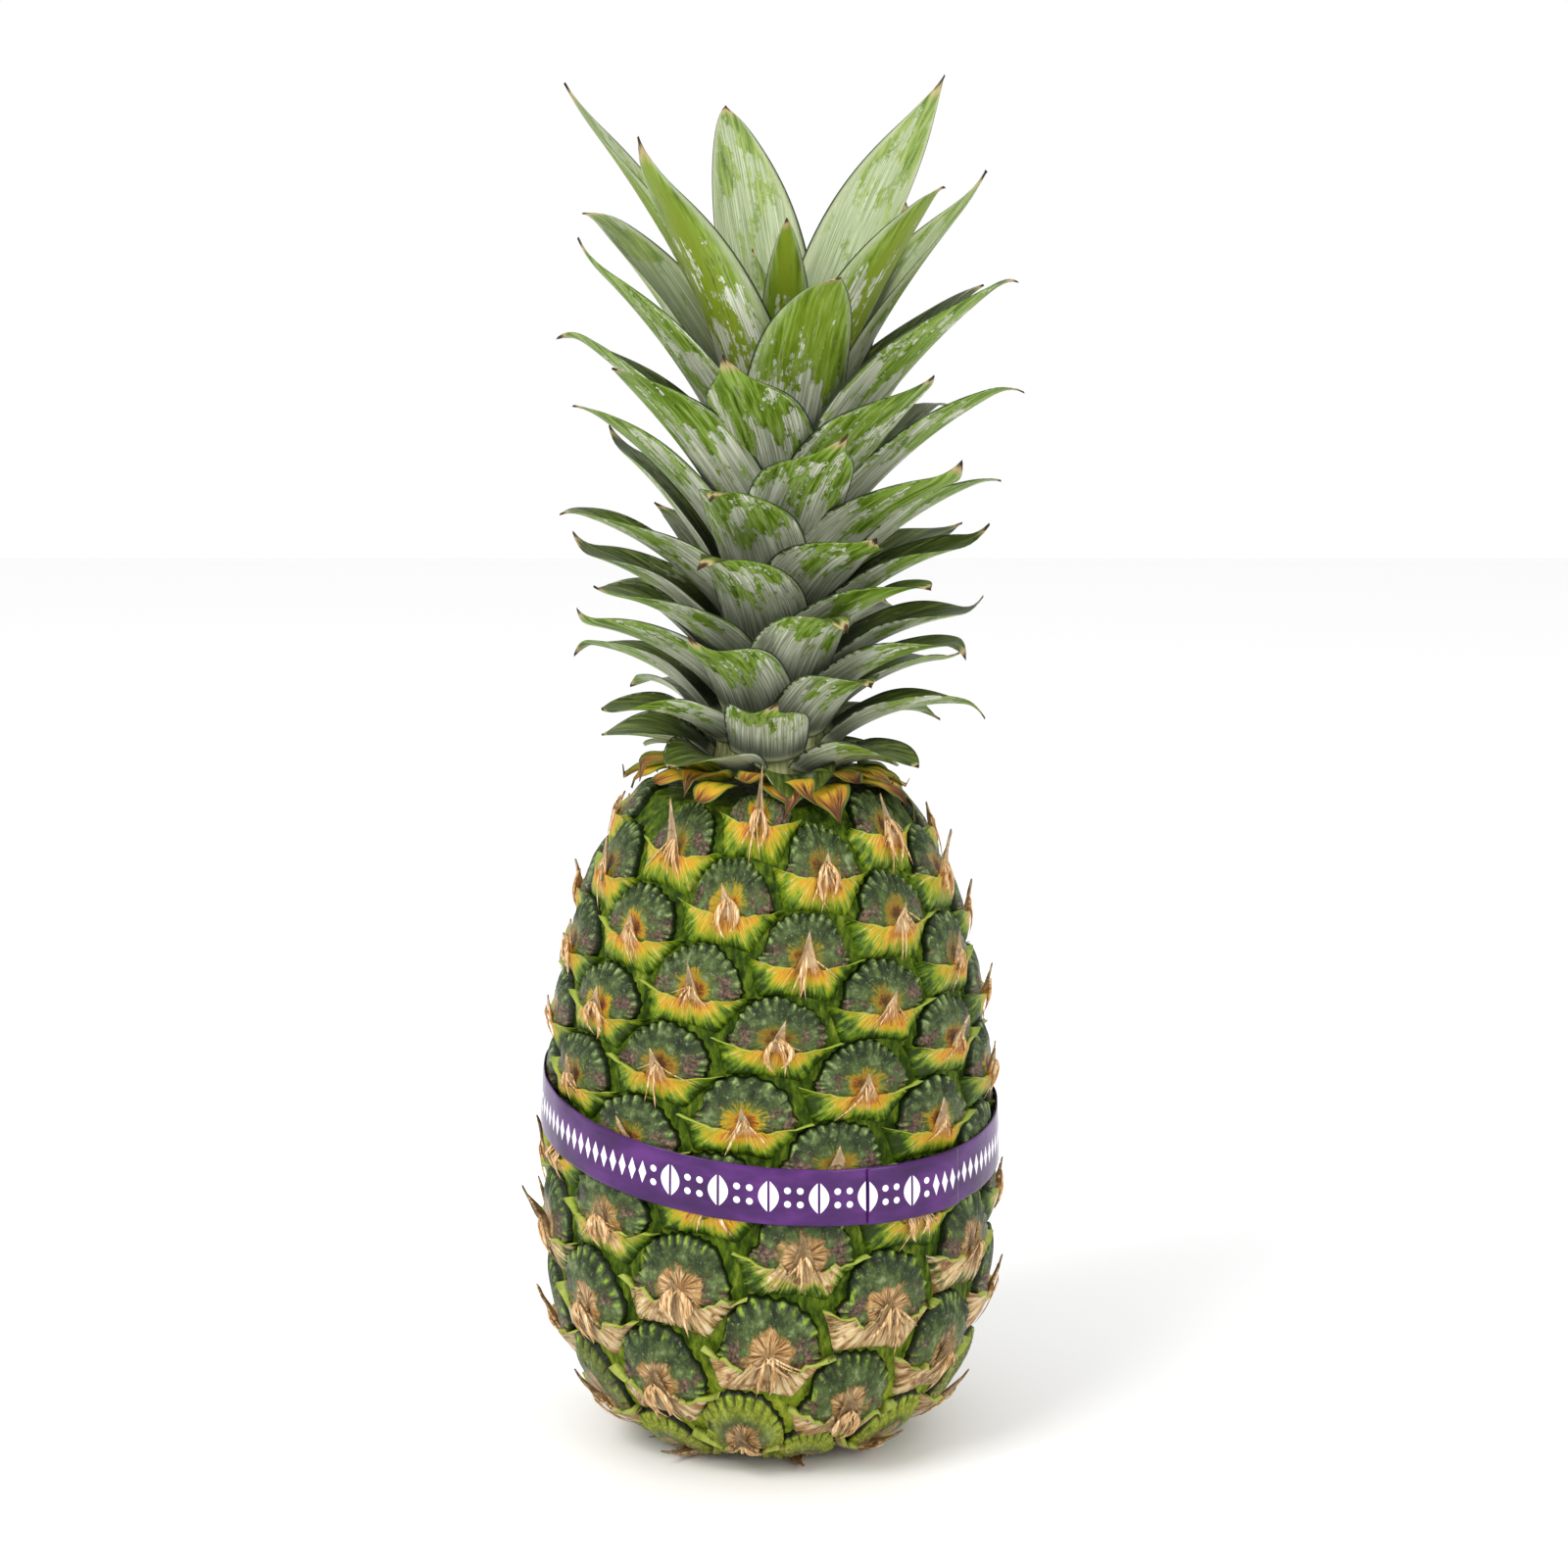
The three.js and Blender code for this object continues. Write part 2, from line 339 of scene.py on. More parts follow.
def pressed(angle, along, out):
    """The height off the skin, held down below the tape and let up in a slope beside it."""
    away = np.abs(np.interp(along, even_arc, skin_z) - band_middle(angle)) - BAND_WIDTH / 2 - 0.6
    return np.minimum(out, 0.1 + np.maximum(away, 0) * 1.2)


def on_eye(eye, x, y, out):
    """Points of an eye's flat patch, laid on the skin."""
    angle = eye_angle[eye] + x / PATCH_RADIUS
    along = eye_arc[eye] + y * eye_tall[eye]
    return on_skin(angle, along, pressed(angle, along, out))


def stamp(name, template, eyes, shape_of):
    """One mesh with a copy of the template on every eye, its points placed by shape_of(eye)."""
    shape = bmesh.new()
    for _ in eyes:
        shape.from_mesh(template)
    mesh = bpy.data.meshes.new(name)
    shape.to_mesh(mesh)
    shape.free()
    patches = [shape_of(eye) for eye in eyes]
    points = np.concatenate([on_eye(eye, *patch[:3]) for eye, patch in zip(eyes, patches)])
    move_points(mesh, points)
    count = len(template.vertices)
    x = np.concatenate([patch[0] for patch in patches])
    y = np.concatenate([patch[1] for patch in patches])
    give_uv(mesh, "eye_patch", x, y)
    chosen = np.array(eyes)
    give_numbers(mesh, eye_x=x, eye_y=y)
    give_numbers(mesh, seed=np.repeat(eye_seed[chosen], count), dry=np.repeat(eye_dry[chosen], count))
    give_numbers(mesh, upper=np.repeat(eye_upper[chosen], count), lowest=np.repeat(eye_lowest[chosen], count))
    for key in patches[0][3]:
        give_numbers(mesh, **{key: np.concatenate([patch[3][key] for patch in patches])})
    mesh.update()
    return mesh


# %% [markdown]
# ### The rind below the eyes
#
# Between the eyes the rind shows as a smooth green groove. It's the outline, sunk by the depth of the
# grooves, and turned round the axis. A hole at the bottom leaves room for the cut stalk.

# %% Rind
GROOVE = 3.0
STALK_HOLE = 15  # how high the hole for the cut stalk reaches
inside = np.arange(0, even_arc[-1], 2.5)
profile = on_skin(np.zeros_like(inside), inside, np.full_like(inside, -GROOVE))[:, [0, 2]]
profile[:, 1] = np.maximum(profile[:, 1], REST_GAP)
stalk_hole = [(0, STALK_HOLE), (STALK_RADIUS, STALK_HOLE), (STALK_RADIUS, REST_GAP)]
line = [*stalk_hole, *profile[2:].tolist(), (0, float(profile[-1, 1]))]
rind_mesh = mesh_of("rind", spun([(radius * MM, height * MM) for radius, height in line], 160))
rind_material, tree, shader = new_material("green_rind")
where = add(tree, "TexCoord", out="Object")
stretched = add(tree, "Mapping", where, Scale=(420.0, 420.0, 160.0))
patchy = add(tree, "TexNoise", stretched, Scale=1.0, Detail=5.0, Roughness=0.65)
base = add(
    tree, "ValToRGB", patchy,
    stops=[(0.3, "#141f04"), (0.44, "#2b3f07"), (0.56, "#4a5f0f"), (0.7, "#77822a")],
)
height = add(tree, "SeparateXYZ", where, out=2)
paler = add(tree, "ValToRGB", patchy, stops=[(0.35, "#4f650f"), (0.5, "#7f9120"), (0.65, "#a9ad3c")])
base = add(
    tree, "Mix RGBA",
    add(tree, "Math MULTIPLY", add(tree, "MapRange SMOOTHSTEP", height, 0.05, 0.012), 0.8), base, paler,
)
finish(tree, shader, base, 0.6, patchy, 0.001, 0.9, shine=0.08)
piece("rind", rind_mesh, rind_material, "fruit", slot="rind")
print("rind faces", len(rind_mesh.polygons))

# %% [markdown]
# ### The pads
#
# The upper part of an eye is a firm, waxy pad: a shallow dome with pleats that run out to a beaded rim.
# A spoke spun round a hub gives a disc with its rings where they are needed, close together at the rim.
# The disc is then pushed into a dome. Its columns are drawn together towards the top, where the rim shows.

# %% Pad template
PAD_COLUMNS = 64
PAD_RINGS = [0, 0.14, 0.28, 0.42, 0.55, 0.67, 0.77, 0.86, 0.93, 1.0, 1.06, 1.12]
shape = spun([(ring, 0) for ring in PAD_RINGS], PAD_COLUMNS, 1e-5)
bmesh.ops.contextual_create(shape, geom=[e for e in shape.edges if e.is_boundary])
pad_template = mesh_of("pad_template", shape)
pad_points = points_of(pad_template)
print("pad template faces", len(pad_template.polygons))

# %% Pads
PAD_HALF_WIDTH, PAD_TOP, PAD_BOTTOM = 12.8, 10.4, 5.0
FEWEST_PLEATS, MOST_PLEATS = 17, 31
PLEAT_HEIGHT, LUMP_HEIGHT = 0.3, 0.1
EDGE_PLEATS, EDGE_LUMPS = 0.03, 0.024  # how far they push the rim out, as a share of its reach
DOME_DROP, DIMPLE_DEPTH, DIMPLE_REACH = 1.5, 1.1, 0.3
SKIRT_REACH, SKIRT_FLARE = PAD_RINGS[-1] - 1, 0.07
SKIRT_TOP, SKIRT_DROP = -1.7, 1.9
pleats = np.round(FEWEST_PLEATS + (MOST_PLEATS - FEWEST_PLEATS) * draw.random(EYES)) * (1 + 0.2 * eye_dry)
pad_phase = draw.random((EYES, 4)) * math.tau


def pad_shape(eye):
    ring = np.hypot(pad_points[:, 0], pad_points[:, 1])
    turn = np.arctan2(pad_points[:, 1], pad_points[:, 0])
    turn = turn + 0.5 * np.cos(turn)  # more columns at the top
    reach = np.minimum(ring, 1)
    phase = pad_phase[eye]
    pleat = np.cos(pleats[eye] * turn + phase[0])
    lumps = np.cos(3 * turn + phase[1]) + np.cos(5 * turn + phase[2]) + 0.7 * np.cos(9 * turn + phase[3])
    skirt = np.maximum(ring - 1, 0) / SKIRT_REACH
    edge = reach * (1.0 + EDGE_PLEATS * pleat + EDGE_LUMPS * lumps) * (1 + SKIRT_FLARE * skirt)
    x = PAD_HALF_WIDTH * edge * np.cos(turn)
    y = np.where(turn > 0, PAD_TOP, PAD_BOTTOM) * edge * np.sin(turn)
    rise = 0.2 - DOME_DROP * reach**3 - DIMPLE_DEPTH * np.exp(-((reach / DIMPLE_REACH) ** 2))
    rise += PLEAT_HEIGHT * pleat * smoothstep(reach, 0.4, 0.9) + LUMP_HEIGHT * lumps * reach
    numbers = {"reach": ring, "pleat": 0.5 + 0.5 * pleat, "spoke": np.arctan2(x, y)}
    return x, y, np.where(ring > 1, SKIRT_TOP - SKIRT_DROP * skirt, rise), numbers


# %% [markdown]
# ### The bracts
#
# Below each pad sits its bract, a small tough leaf. Its wings run out to sharp corners between the pads on
# either side, and its middle ends in a dry point that lies over the pad. A grid follows this well, one way
# across the wings and the other way up to the free edge. It gets its thickness first, while it's flat.

# %% Bract template
BRACT_COLUMNS, BRACT_ROWS = 30, 11
shape = bmesh.new()
bmesh.ops.create_grid(shape, x_segments=BRACT_COLUMNS, y_segments=BRACT_ROWS, size=1)
bmesh.ops.solidify(shape, geom=shape.faces[:], thickness=0.5)
bract_template = mesh_of("bract_template", shape)
bract_points = points_of(bract_template)
print("bract template", len(bract_template.polygons), sorted({round(z, 3) for z in bract_points[:, 2]}))
bract_layer = bract_points[:, 2] < bract_points[:, 2].mean()  # the underside

# %% Bracts
WING_REACH = 17.3
WING_LEFT, FOOT_LEFT = (-WING_REACH, 0.6), (-14.2, -8.8)
FOOT_RIGHT, WING_RIGHT = (6.8, -10.7), (WING_REACH, -1.2)
EDGE_SAG = 2.3  # the free edge hangs this far below the line between the wings
BRACT_FOOT, BRACT_CLIMB = -3.6, 4.4  # its foot lies in the groove, and it climbs to lie over its pad
UNDERSIDE = -4.4
WALL = 0.3  # the thinnest that a bract gets where nothing presses on it
FAN_FOOT = 2.5  # the fibres fan out from this far above the eye's middle
tip_length = (5.0 + 4.5 * draw.random(EYES)) * (0.75 + 0.25 * eye_small)
tip_lift = 0.8 + 2.6 * draw.random(EYES) ** 1.5
tip_lean = 2.4 * (2 * draw.random(EYES) - 1)
tip_half_width = 2.3 + 1.1 * draw.random(EYES) + 0.8 * eye_dry
stray = eye_seed > 0.88  # a few tips stand far out
tip_length[stray] += 3.0
tip_lift[stray] += 3.5
bract_phase = draw.random((EYES, 4)) * math.tau


def bract_shape(eye):
    t = bract_points[:, 0]
    b = 1 - (1 - (bract_points[:, 1] + 1) / 2) ** 1.25  # 0 at the foot, 1 at the free edge
    a = 0.42 * t + 0.58 * t**3  # -1 to 1 across the free edge, with more columns in the tip
    stops = [-1, -0.55, 0.3, 1]
    foot_x = np.interp(t, stops, [WING_LEFT[0], FOOT_LEFT[0], FOOT_RIGHT[0], WING_RIGHT[0]])
    foot_y = np.interp(t, stops, [WING_LEFT[1], FOOT_LEFT[1], FOOT_RIGHT[1], WING_RIGHT[1]])
    share = np.interp(t, stops, [0, 1, 2, 3]) % 1
    hollow = np.sin(math.pi * share)
    foot_y = foot_y + 0.8 * hollow
    edge_x = WING_REACH * a
    phase = bract_phase[eye]
    wave = np.cos(edge_x * 0.9 + phase[0]) + 0.6 * np.cos(edge_x * 1.9 + phase[1])
    edge_y = np.interp(a, [-1, 1], [WING_LEFT[1], WING_RIGHT[1]]) - EDGE_SAG * (1 - a**2)
    torn = 0.5 * np.cos(edge_x * 4.1 + phase[3])
    edge_y = edge_y + (0.2 + 0.75 * eye_dry[eye]) * (wave + torn) * (1 - a**2)
    point = np.maximum(0, 1 - np.abs(edge_x) / tip_half_width[eye]) ** 1.25
    edge_y = edge_y + tip_length[eye] * point
    x = foot_x + (edge_x - foot_x) * b
    y = foot_y + (edge_y - foot_y) * b
    in_tip = point * smoothstep(b, 0.5, 1)
    x = x + tip_lean[eye] * in_tip**1.5
    wing = np.abs(a) ** 1.5
    rise = BRACT_FOOT + (BRACT_CLIMB - 0.9 * wing) * b**0.45 - 0.5 * wing
    rise += 0.9 * np.exp(-((x / 3.2) ** 2)) * b * (1 - 0.5 * b)  # the ridge down the middle
    rise += 0.7 * smoothstep(b, 0.75, 0.95) * np.sqrt(wing)  # the lip of each wing
    rise += 0.25 * np.cos(2.1 * x + phase[2]) * b * (1 - b) * 2 * (1 - wing)  # ribs
    rise += tip_lift[eye] * in_tip**1.6
    rise += eye_dry[eye] * 0.35 * wave * b * (1 - wing)  # dead bracts curl
    under = UNDERSIDE + (rise - 0.45 - UNDERSIDE) * smoothstep(b, 0.05, 0.55) * (1 - wing)
    middle = np.exp(-((x / (2.6 + 1.6 * (1 - b))) ** 2)) * smoothstep(y, -10, -1)
    # ripe is ripening and painted shade together: it falls to the darkest green at the bract's foot, down in
    # the groove, and at the far corners of its wings
    wings = np.exp(-((x / 12) ** 2)) * smoothstep(b, 0.0, 0.8)
    numbers = {
        "ripe": np.maximum(0.5 * middle + 0.58 * wings, in_tip**0.5),
        "free_edge": b,
        "ray": np.arctan2(x, FAN_FOOT - y),
        "far": np.hypot(x, FAN_FOOT - y),
    }
    return x, y, np.where(bract_layer, np.minimum(under, rise - WALL), rise), numbers


# %% [markdown]
# A pad is slate green under a thin grey bloom. Its beads are paler at the rim and carry painted highlight on
# the crests of the pleats, and it glows yellow to orange where the flower dried on it. The lower eyes keep a
# star of dry fibres there. All of it is drawn by the eye's own millimetres and by the numbers stored above,
# so the drawing follows each eye's own pleats.

# %% Pad material
pad_material, tree, shader = new_material("waxy_pad")
x, y, seed = (add(tree, "Attribute " + name) for name in ("eye_x", "eye_y", "seed"))
reach, pleat, spoke = (add(tree, "Attribute " + name) for name in ("reach", "pleat", "spoke"))
dry = add(tree, "Attribute dry")
cloudy = stretched_noise(tree, (x, y, seed), (0.28, 0.28, 61.0))
specks = stretched_noise(tree, (x, y, seed), (1.1, 1.1, 61.0), 4.0, 0.7)
fibres = stretched_noise(tree, (spoke, reach, seed), (9.0, 2.0, 61.0))
base = add(
    tree, "ValToRGB", cloudy,
    stops=[(0.3, "#162109"), (0.47, "#2d3c18"), (0.6, "#4a5b2c"), (0.75, "#808c62")],
)
base = add(tree, "Mix RGBA", add(tree, "MapRange SMOOTHSTEP", specks, 0.56, 0.74), base, "#85906f")
bruise = add(
    tree, "Math MULTIPLY", add(tree, "MapRange SMOOTHSTEP", cloudy, 0.55, 0.47),
    add(tree, "MapRange SMOOTHSTEP", add(tree, "Math ABSOLUTE", x), 4.5, 8.0),
)
bruise = add(tree, "Math MULTIPLY", bruise, add(tree, "MapRange SMOOTHSTEP", y, 5.0, 1.0))
base = add(
    tree, "Mix RGBA", add(tree, "Math MULTIPLY", bruise, 0.8), base,
    add(tree, "ValToRGB", specks, stops=[(0.4, "#33201c"), (0.65, "#8a6a5c")]),
)
out_x, out_y = add(tree, "Math DIVIDE", x, 6.0), add(tree, "Math DIVIDE", y, 4.8)
off_centre = add(
    tree, "Math SQRT",
    add(tree, "Math ADD", add(tree, "Math POWER", out_x, 2.0), add(tree, "Math POWER", out_y, 2.0)),
)
off_centre = add(
    tree, "Math ADD", off_centre, add(tree, "Math MULTIPLY", add(tree, "Math SUBTRACT", fibres, 0.5), 1.1)
)
off_centre = add(
    tree, "Math ADD", off_centre, add(tree, "Math MULTIPLY", add(tree, "Math SUBTRACT", cloudy, 0.5), 1.6)
)
glow = add(
    tree, "ValToRGB", off_centre,
    stops=[(0.25, "#85481a"), (0.45, "#c08019"), (0.7, "#ab981a"), (1.0, "#5f6c1c")],
)
warmth = add(
    tree, "Math MULTIPLY_ADD", add(tree, "Math FRACT", add(tree, "Math MULTIPLY", seed, 7.0)), 0.65, 0.35
)
base = add(
    tree, "Mix RGBA",
    add(tree, "Math MULTIPLY", add(tree, "MapRange SMOOTHSTEP", off_centre, 1.15, 0.5), warmth), base, glow,
)
star = add(
    tree, "Math MULTIPLY", add(tree, "MapRange SMOOTHSTEP", off_centre, 1.1, 0.7),
    add(tree, "MapRange SMOOTHSTEP", dry, 0.3, 0.8),
)
base = add(
    tree, "Mix RGBA", star, base,
    add(tree, "ValToRGB", fibres, stops=[(0.35, "#5f3c1d"), (0.5, "#b08550"), (0.62, "#dcc197")]),
)
fresh_rim = add(
    tree, "Math MULTIPLY", add(tree, "MapRange SMOOTHSTEP", reach, 0.45, 0.8),
    add(tree, "Attribute lowest"),
)
base = add(
    tree, "Mix RGBA", add(tree, "Math MULTIPLY", fresh_rim, 0.85), base,
    add(tree, "ValToRGB", specks, stops=[(0.4, "#6d7a12"), (0.6, "#a3aa26")]),
)
# the beads at the rim: partly their own paler green, partly painted highlight on the crests of the pleats
bead_colour_and_highlight_mask = add(
    tree, "Math MULTIPLY", add(tree, "MapRange SMOOTHSTEP", reach, 0.8, 0.9),
    add(tree, "MapRange SMOOTHSTEP", reach, 1.03, 0.97),
)
bead_colour_and_highlight_mask = add(tree, "Math MULTIPLY", bead_colour_and_highlight_mask, add(tree, "MapRange SMOOTHSTEP", pleat, 0.5, 0.95))
bead_colour_and_highlight = add(tree, "Mix RGBA", add(tree, "MapRange SMOOTHSTEP", dry, 0.3, 0.9), "#8ba360", "#8aa828")
bead_colour_and_highlight_mask = add(tree, "Math MULTIPLY", bead_colour_and_highlight_mask, add(tree, "MapRange SMOOTHSTEP", cloudy, 0.36, 0.58))
base = add(
    tree, "Mix RGBA", add(tree, "Math MULTIPLY", bead_colour_and_highlight_mask, add(tree, "MapRange SMOOTHSTEP", specks, 0.36, 0.56)),
    base, bead_colour_and_highlight,
)
# painted shade: the troughs between the pleats near the rim go near black-green
pleat_crease_shade = add(
    tree, "Math MULTIPLY", add(tree, "MapRange SMOOTHSTEP", reach, 0.7, 0.95),
    add(tree, "MapRange SMOOTHSTEP", pleat, 0.4, 0.05),
)
base = add(tree, "Mix RGBA", add(tree, "Math MULTIPLY", pleat_crease_shade, 0.85), base, "#121c08")
# painted shade: the skirt that drops from the rim into the groove is near black-green
base = add(tree, "Mix RGBA", add(tree, "MapRange SMOOTHSTEP", reach, 0.99, 1.03), base, "#131f05")
height = add(tree, "Math ADD", add(tree, "Math MULTIPLY", fibres, 0.6), specks)
finish(
    tree, shader, base, add(tree, "ValToRGB", specks, stops=[(0.3, "#5c5c5c"), (0.7, "#a8a8a8")]), height,
    0.0009, shine=0.2,
)

# %% [markdown]
# A bract is green low down, where it's alive, and darkest at its foot and far corners, which is painted shade
# down in the groove. Upwards it ripens through yellow and orange to the dry tan of its tip. Fibres fan out
# from the tip's foot. The oldest bracts have gone to brown paper all over.

# %% Bract material
bract_material, tree, shader = new_material("ripening_bract")
x, y, seed = (add(tree, "Attribute " + name) for name in ("eye_x", "eye_y", "seed"))
ripe, edge, ray, far = (add(tree, "Attribute " + name) for name in ("ripe", "free_edge", "ray", "far"))
dry, upper = (add(tree, "Attribute " + name) for name in ("dry", "upper"))
cloudy = stretched_noise(tree, (x, y, seed), (0.25, 0.25, 61.0))
fibres = stretched_noise(tree, (ray, far, seed), (11.0, 0.12, 61.0), 4.0, 0.7)
thin = stretched_noise(tree, (ray, far, seed), (30.0, 0.2, 61.0))
shift = add(tree, "Math MULTIPLY", add(tree, "Math SUBTRACT", cloudy, 0.5), 0.7)
shift = add(
    tree, "Math ADD", shift, add(tree, "Math MULTIPLY", add(tree, "Math SUBTRACT", fibres, 0.5), 0.8)
)
# the darkest greens at the low end are partly painted shade at the foot of the bract
ripeness_and_groove_shade = add(tree, "Math ADD", add(tree, "Math ADD", ripe, shift), add(tree, "Math MULTIPLY", upper, 0.1))
fresh = add(
    tree, "ValToRGB", ripeness_and_groove_shade,
    stops=[
        (0.0, "#263806"), (0.1, "#4a650c"), (0.22, "#768a16"), (0.36, "#a8981e"), (0.58, "#cf9626"),
        (0.7, "#b8702c"), (0.84, "#d19f66"), (0.98, "#e6c79c"),
    ],
)
paper = add(
    tree, "ValToRGB", fibres,
    stops=[(0.3, "#5a3a22"), (0.45, "#a27c4d"), (0.55, "#cbb083"), (0.68, "#e3d2ab")],
)
papery = add(tree, "Math ADD", add(tree, "Math MULTIPLY", dry, 0.9), add(tree, "Math MULTIPLY", ripe, 0.45))
papery = add(tree, "Math ADD", papery, add(tree, "Math MULTIPLY", shift, 0.8))
papery = add(
    tree, "Math MULTIPLY", add(tree, "MapRange SMOOTHSTEP", papery, 0.68, 0.9),
    add(tree, "MapRange SMOOTHSTEP", dry, 0.12, 0.45),
)
paper = add(tree, "Mix RGBA", add(tree, "MapRange SMOOTHSTEP", cloudy, 0.55, 0.68), paper, "#7b5634")
fresh = add(
    tree, "Mix RGBA", add(tree, "Math MULTIPLY", add(tree, "Attribute lowest"), 0.6), fresh, "#9c9a22"
)
base = add(tree, "Mix RGBA", papery, fresh, paper)
red = add(
    tree, "Math MULTIPLY", add(tree, "MapRange SMOOTHSTEP", fibres, 0.55, 0.66),
    add(tree, "MapRange SMOOTHSTEP", ripeness_and_groove_shade, 0.5, 0.68),
)
base = add(tree, "Mix RGBA", add(tree, "Math MULTIPLY", red, 0.65), base, "#96502c")
brown = add(
    tree, "Math MULTIPLY", add(tree, "MapRange SMOOTHSTEP", thin, 0.42, 0.34),
    add(tree, "MapRange SMOOTHSTEP", ripeness_and_groove_shade, 0.42, 0.6),
)
base = add(tree, "Mix RGBA", add(tree, "Math MULTIPLY", brown, 0.8), base, "#58331a")
pale = add(tree, "Math MULTIPLY", add(tree, "MapRange SMOOTHSTEP", thin, 0.56, 0.64), 0.5)
base = add(
    tree, "Mix RGBA",
    add(tree, "Math MULTIPLY", pale, add(tree, "MapRange SMOOTHSTEP", ripeness_and_groove_shade, 0.1, 0.3)), base, "#d3cb8a",
)
wing_edge = add(
    tree, "Math MULTIPLY", add(tree, "MapRange SMOOTHSTEP", edge, 0.9, 0.96),
    add(tree, "MapRange SMOOTHSTEP", add(tree, "Math ABSOLUTE", x), 4.0, 8.0),
)
base = add(tree, "Mix RGBA", add(tree, "Math MULTIPLY", wing_edge, 0.85), base, "#9aac40")
finish(
    tree, shader, base, add(tree, "ValToRGB", fibres, stops=[(0.3, "#808080"), (0.7, "#bcbcbc")]), fibres,
    0.001, 1.0, shine=0.18,
)

# %% [markdown]
# One template serves every eye: `stamp` puts a copy on each, and shapes it with that eye's own numbers.

# %% Stamping the eyes
eyes = list(range(EYES))
pad_mesh = stamp("eye_pads", pad_template, eyes, pad_shape)
piece("eye_pads", pad_mesh, pad_material, "fruit", slot="rind")
bract_mesh = stamp("bracts", bract_template, eyes, bract_shape)
piece("eye_bracts", bract_mesh, bract_material, "fruit", slot="rind")
print("pads", len(pad_mesh.polygons), "bracts", len(bract_mesh.polygons))

# %% [markdown]
# ### Dry threads
#
# Where a flower withered it leaves stiff dry threads at the foot of the tip. They hang down over the bract,
# and on some eyes two of them stand apart round an oval hole. A thread is a spindle: a short profile spun in
# few steps, since there are hundreds of them.

# %% Thread template
THREAD_SIDES, THREAD_ROWS = 5, 8
row = np.linspace(0, 1, THREAD_ROWS + 1)
swell = np.sin(math.pi * np.clip(row * 1.1, 0, 1)) ** 0.5
outline = [(0 if at in (0, 1) else float(s), float(at)) for at, s in zip(row, swell)]
thread_template = mesh_of("thread_template", spun(outline, THREAD_SIDES, 1e-5))
thread_points = points_of(thread_template)
print("thread template faces", len(thread_template.polygons))

# %% Threads
OVAL_SHARE = 0.35  # of the eyes have two threads round an oval hole
FEWEST_THREADS, THREAD_CHOICES = 4, 4  # so an eye has 4 to 7 loose threads
thread_eye, thread_form = [], []
for eye in range(EYES):
    if draw.random() < OVAL_SHARE:
        for side in (-1, 1):
            thread_eye.append(eye)
            thread_form.append((side, side * (2.4 + 1.0 * draw.random()), 7.5 + 3 * draw.random(), 0.0, 0.66))
    for _ in range(FEWEST_THREADS + int(THREAD_CHOICES * draw.random())):
        thread_eye.append(eye)
        spread = math.radians(62) * (2 * draw.random() - 1)
        length = 4 + 8.5 * draw.random() ** 1.4
        curl = 3.6 * (2 * draw.random() - 1)
        thread_form.append((0, spread, length, curl, 0.18 + 0.2 * draw.random()))
thread_form = np.array(thread_form)


def thread_shape(place):
    """A thread's points, on the patch of its eye. Its form is kind, spread, length, curl and half width."""
    kind, spread, length, curl, half = thread_form[place]
    t = thread_points[:, 2]
    if kind:
        x, y = spread * np.sin(math.pi * t) ** 0.8, 1.2 - length * t
    else:
        x = 0.8 * math.sin(7 * spread) + length * t * math.sin(spread) + curl * t**2
        y = 0.8 - length * t * math.cos(spread)
    lift = 1.9 - 0.27 * length * t + 0.7 * np.sin(math.pi * t)
    dry = eye_dry[thread_eye[place]]
    x = x + thread_points[:, 0] * half * (1.3 + 0.6 * dry)
    return x, y, lift + thread_points[:, 1] * half * 0.8, {}


def stamp_threads():
    eyes = np.array(thread_eye)
    forms = iter(range(len(eyes)))
    return stamp("dry_threads", thread_template, list(eyes), lambda eye: thread_shape(next(forms)))


thread_material, tree, shader = new_material("dry_fibre")
across, down, seed = (add(tree, "Attribute " + name) for name in ("eye_x", "eye_y", "seed"))
streak = stretched_noise(tree, (across, down, seed), (2.2, 0.35, 83.0), 4.0)
base = add(
    tree, "ValToRGB", streak,
    stops=[(0.3, "#5b3d1f"), (0.42, "#a47a4b"), (0.55, "#d2ae7d"), (0.68, "#eedcb9")],
)
finish(tree, shader, base, 0.75, streak, 0.0003, shine=0.15)
thread_mesh = stamp_threads()
piece("dry_threads", thread_mesh, thread_material, "fruit", slot="rind")
print("threads", len(thread_eye), "faces", len(thread_mesh.polygons))

# %% [markdown]
# ## The crown
#
# A pineapple's crown is a short stem with a spiral of stiff leaves. Each leaf clasps the stem with a wide
# foot, rises, and bends outwards in an arc. Across, it is rolled into a gutter. The lowest leaves are short
# and nearly level, and the youngest stand almost upright.

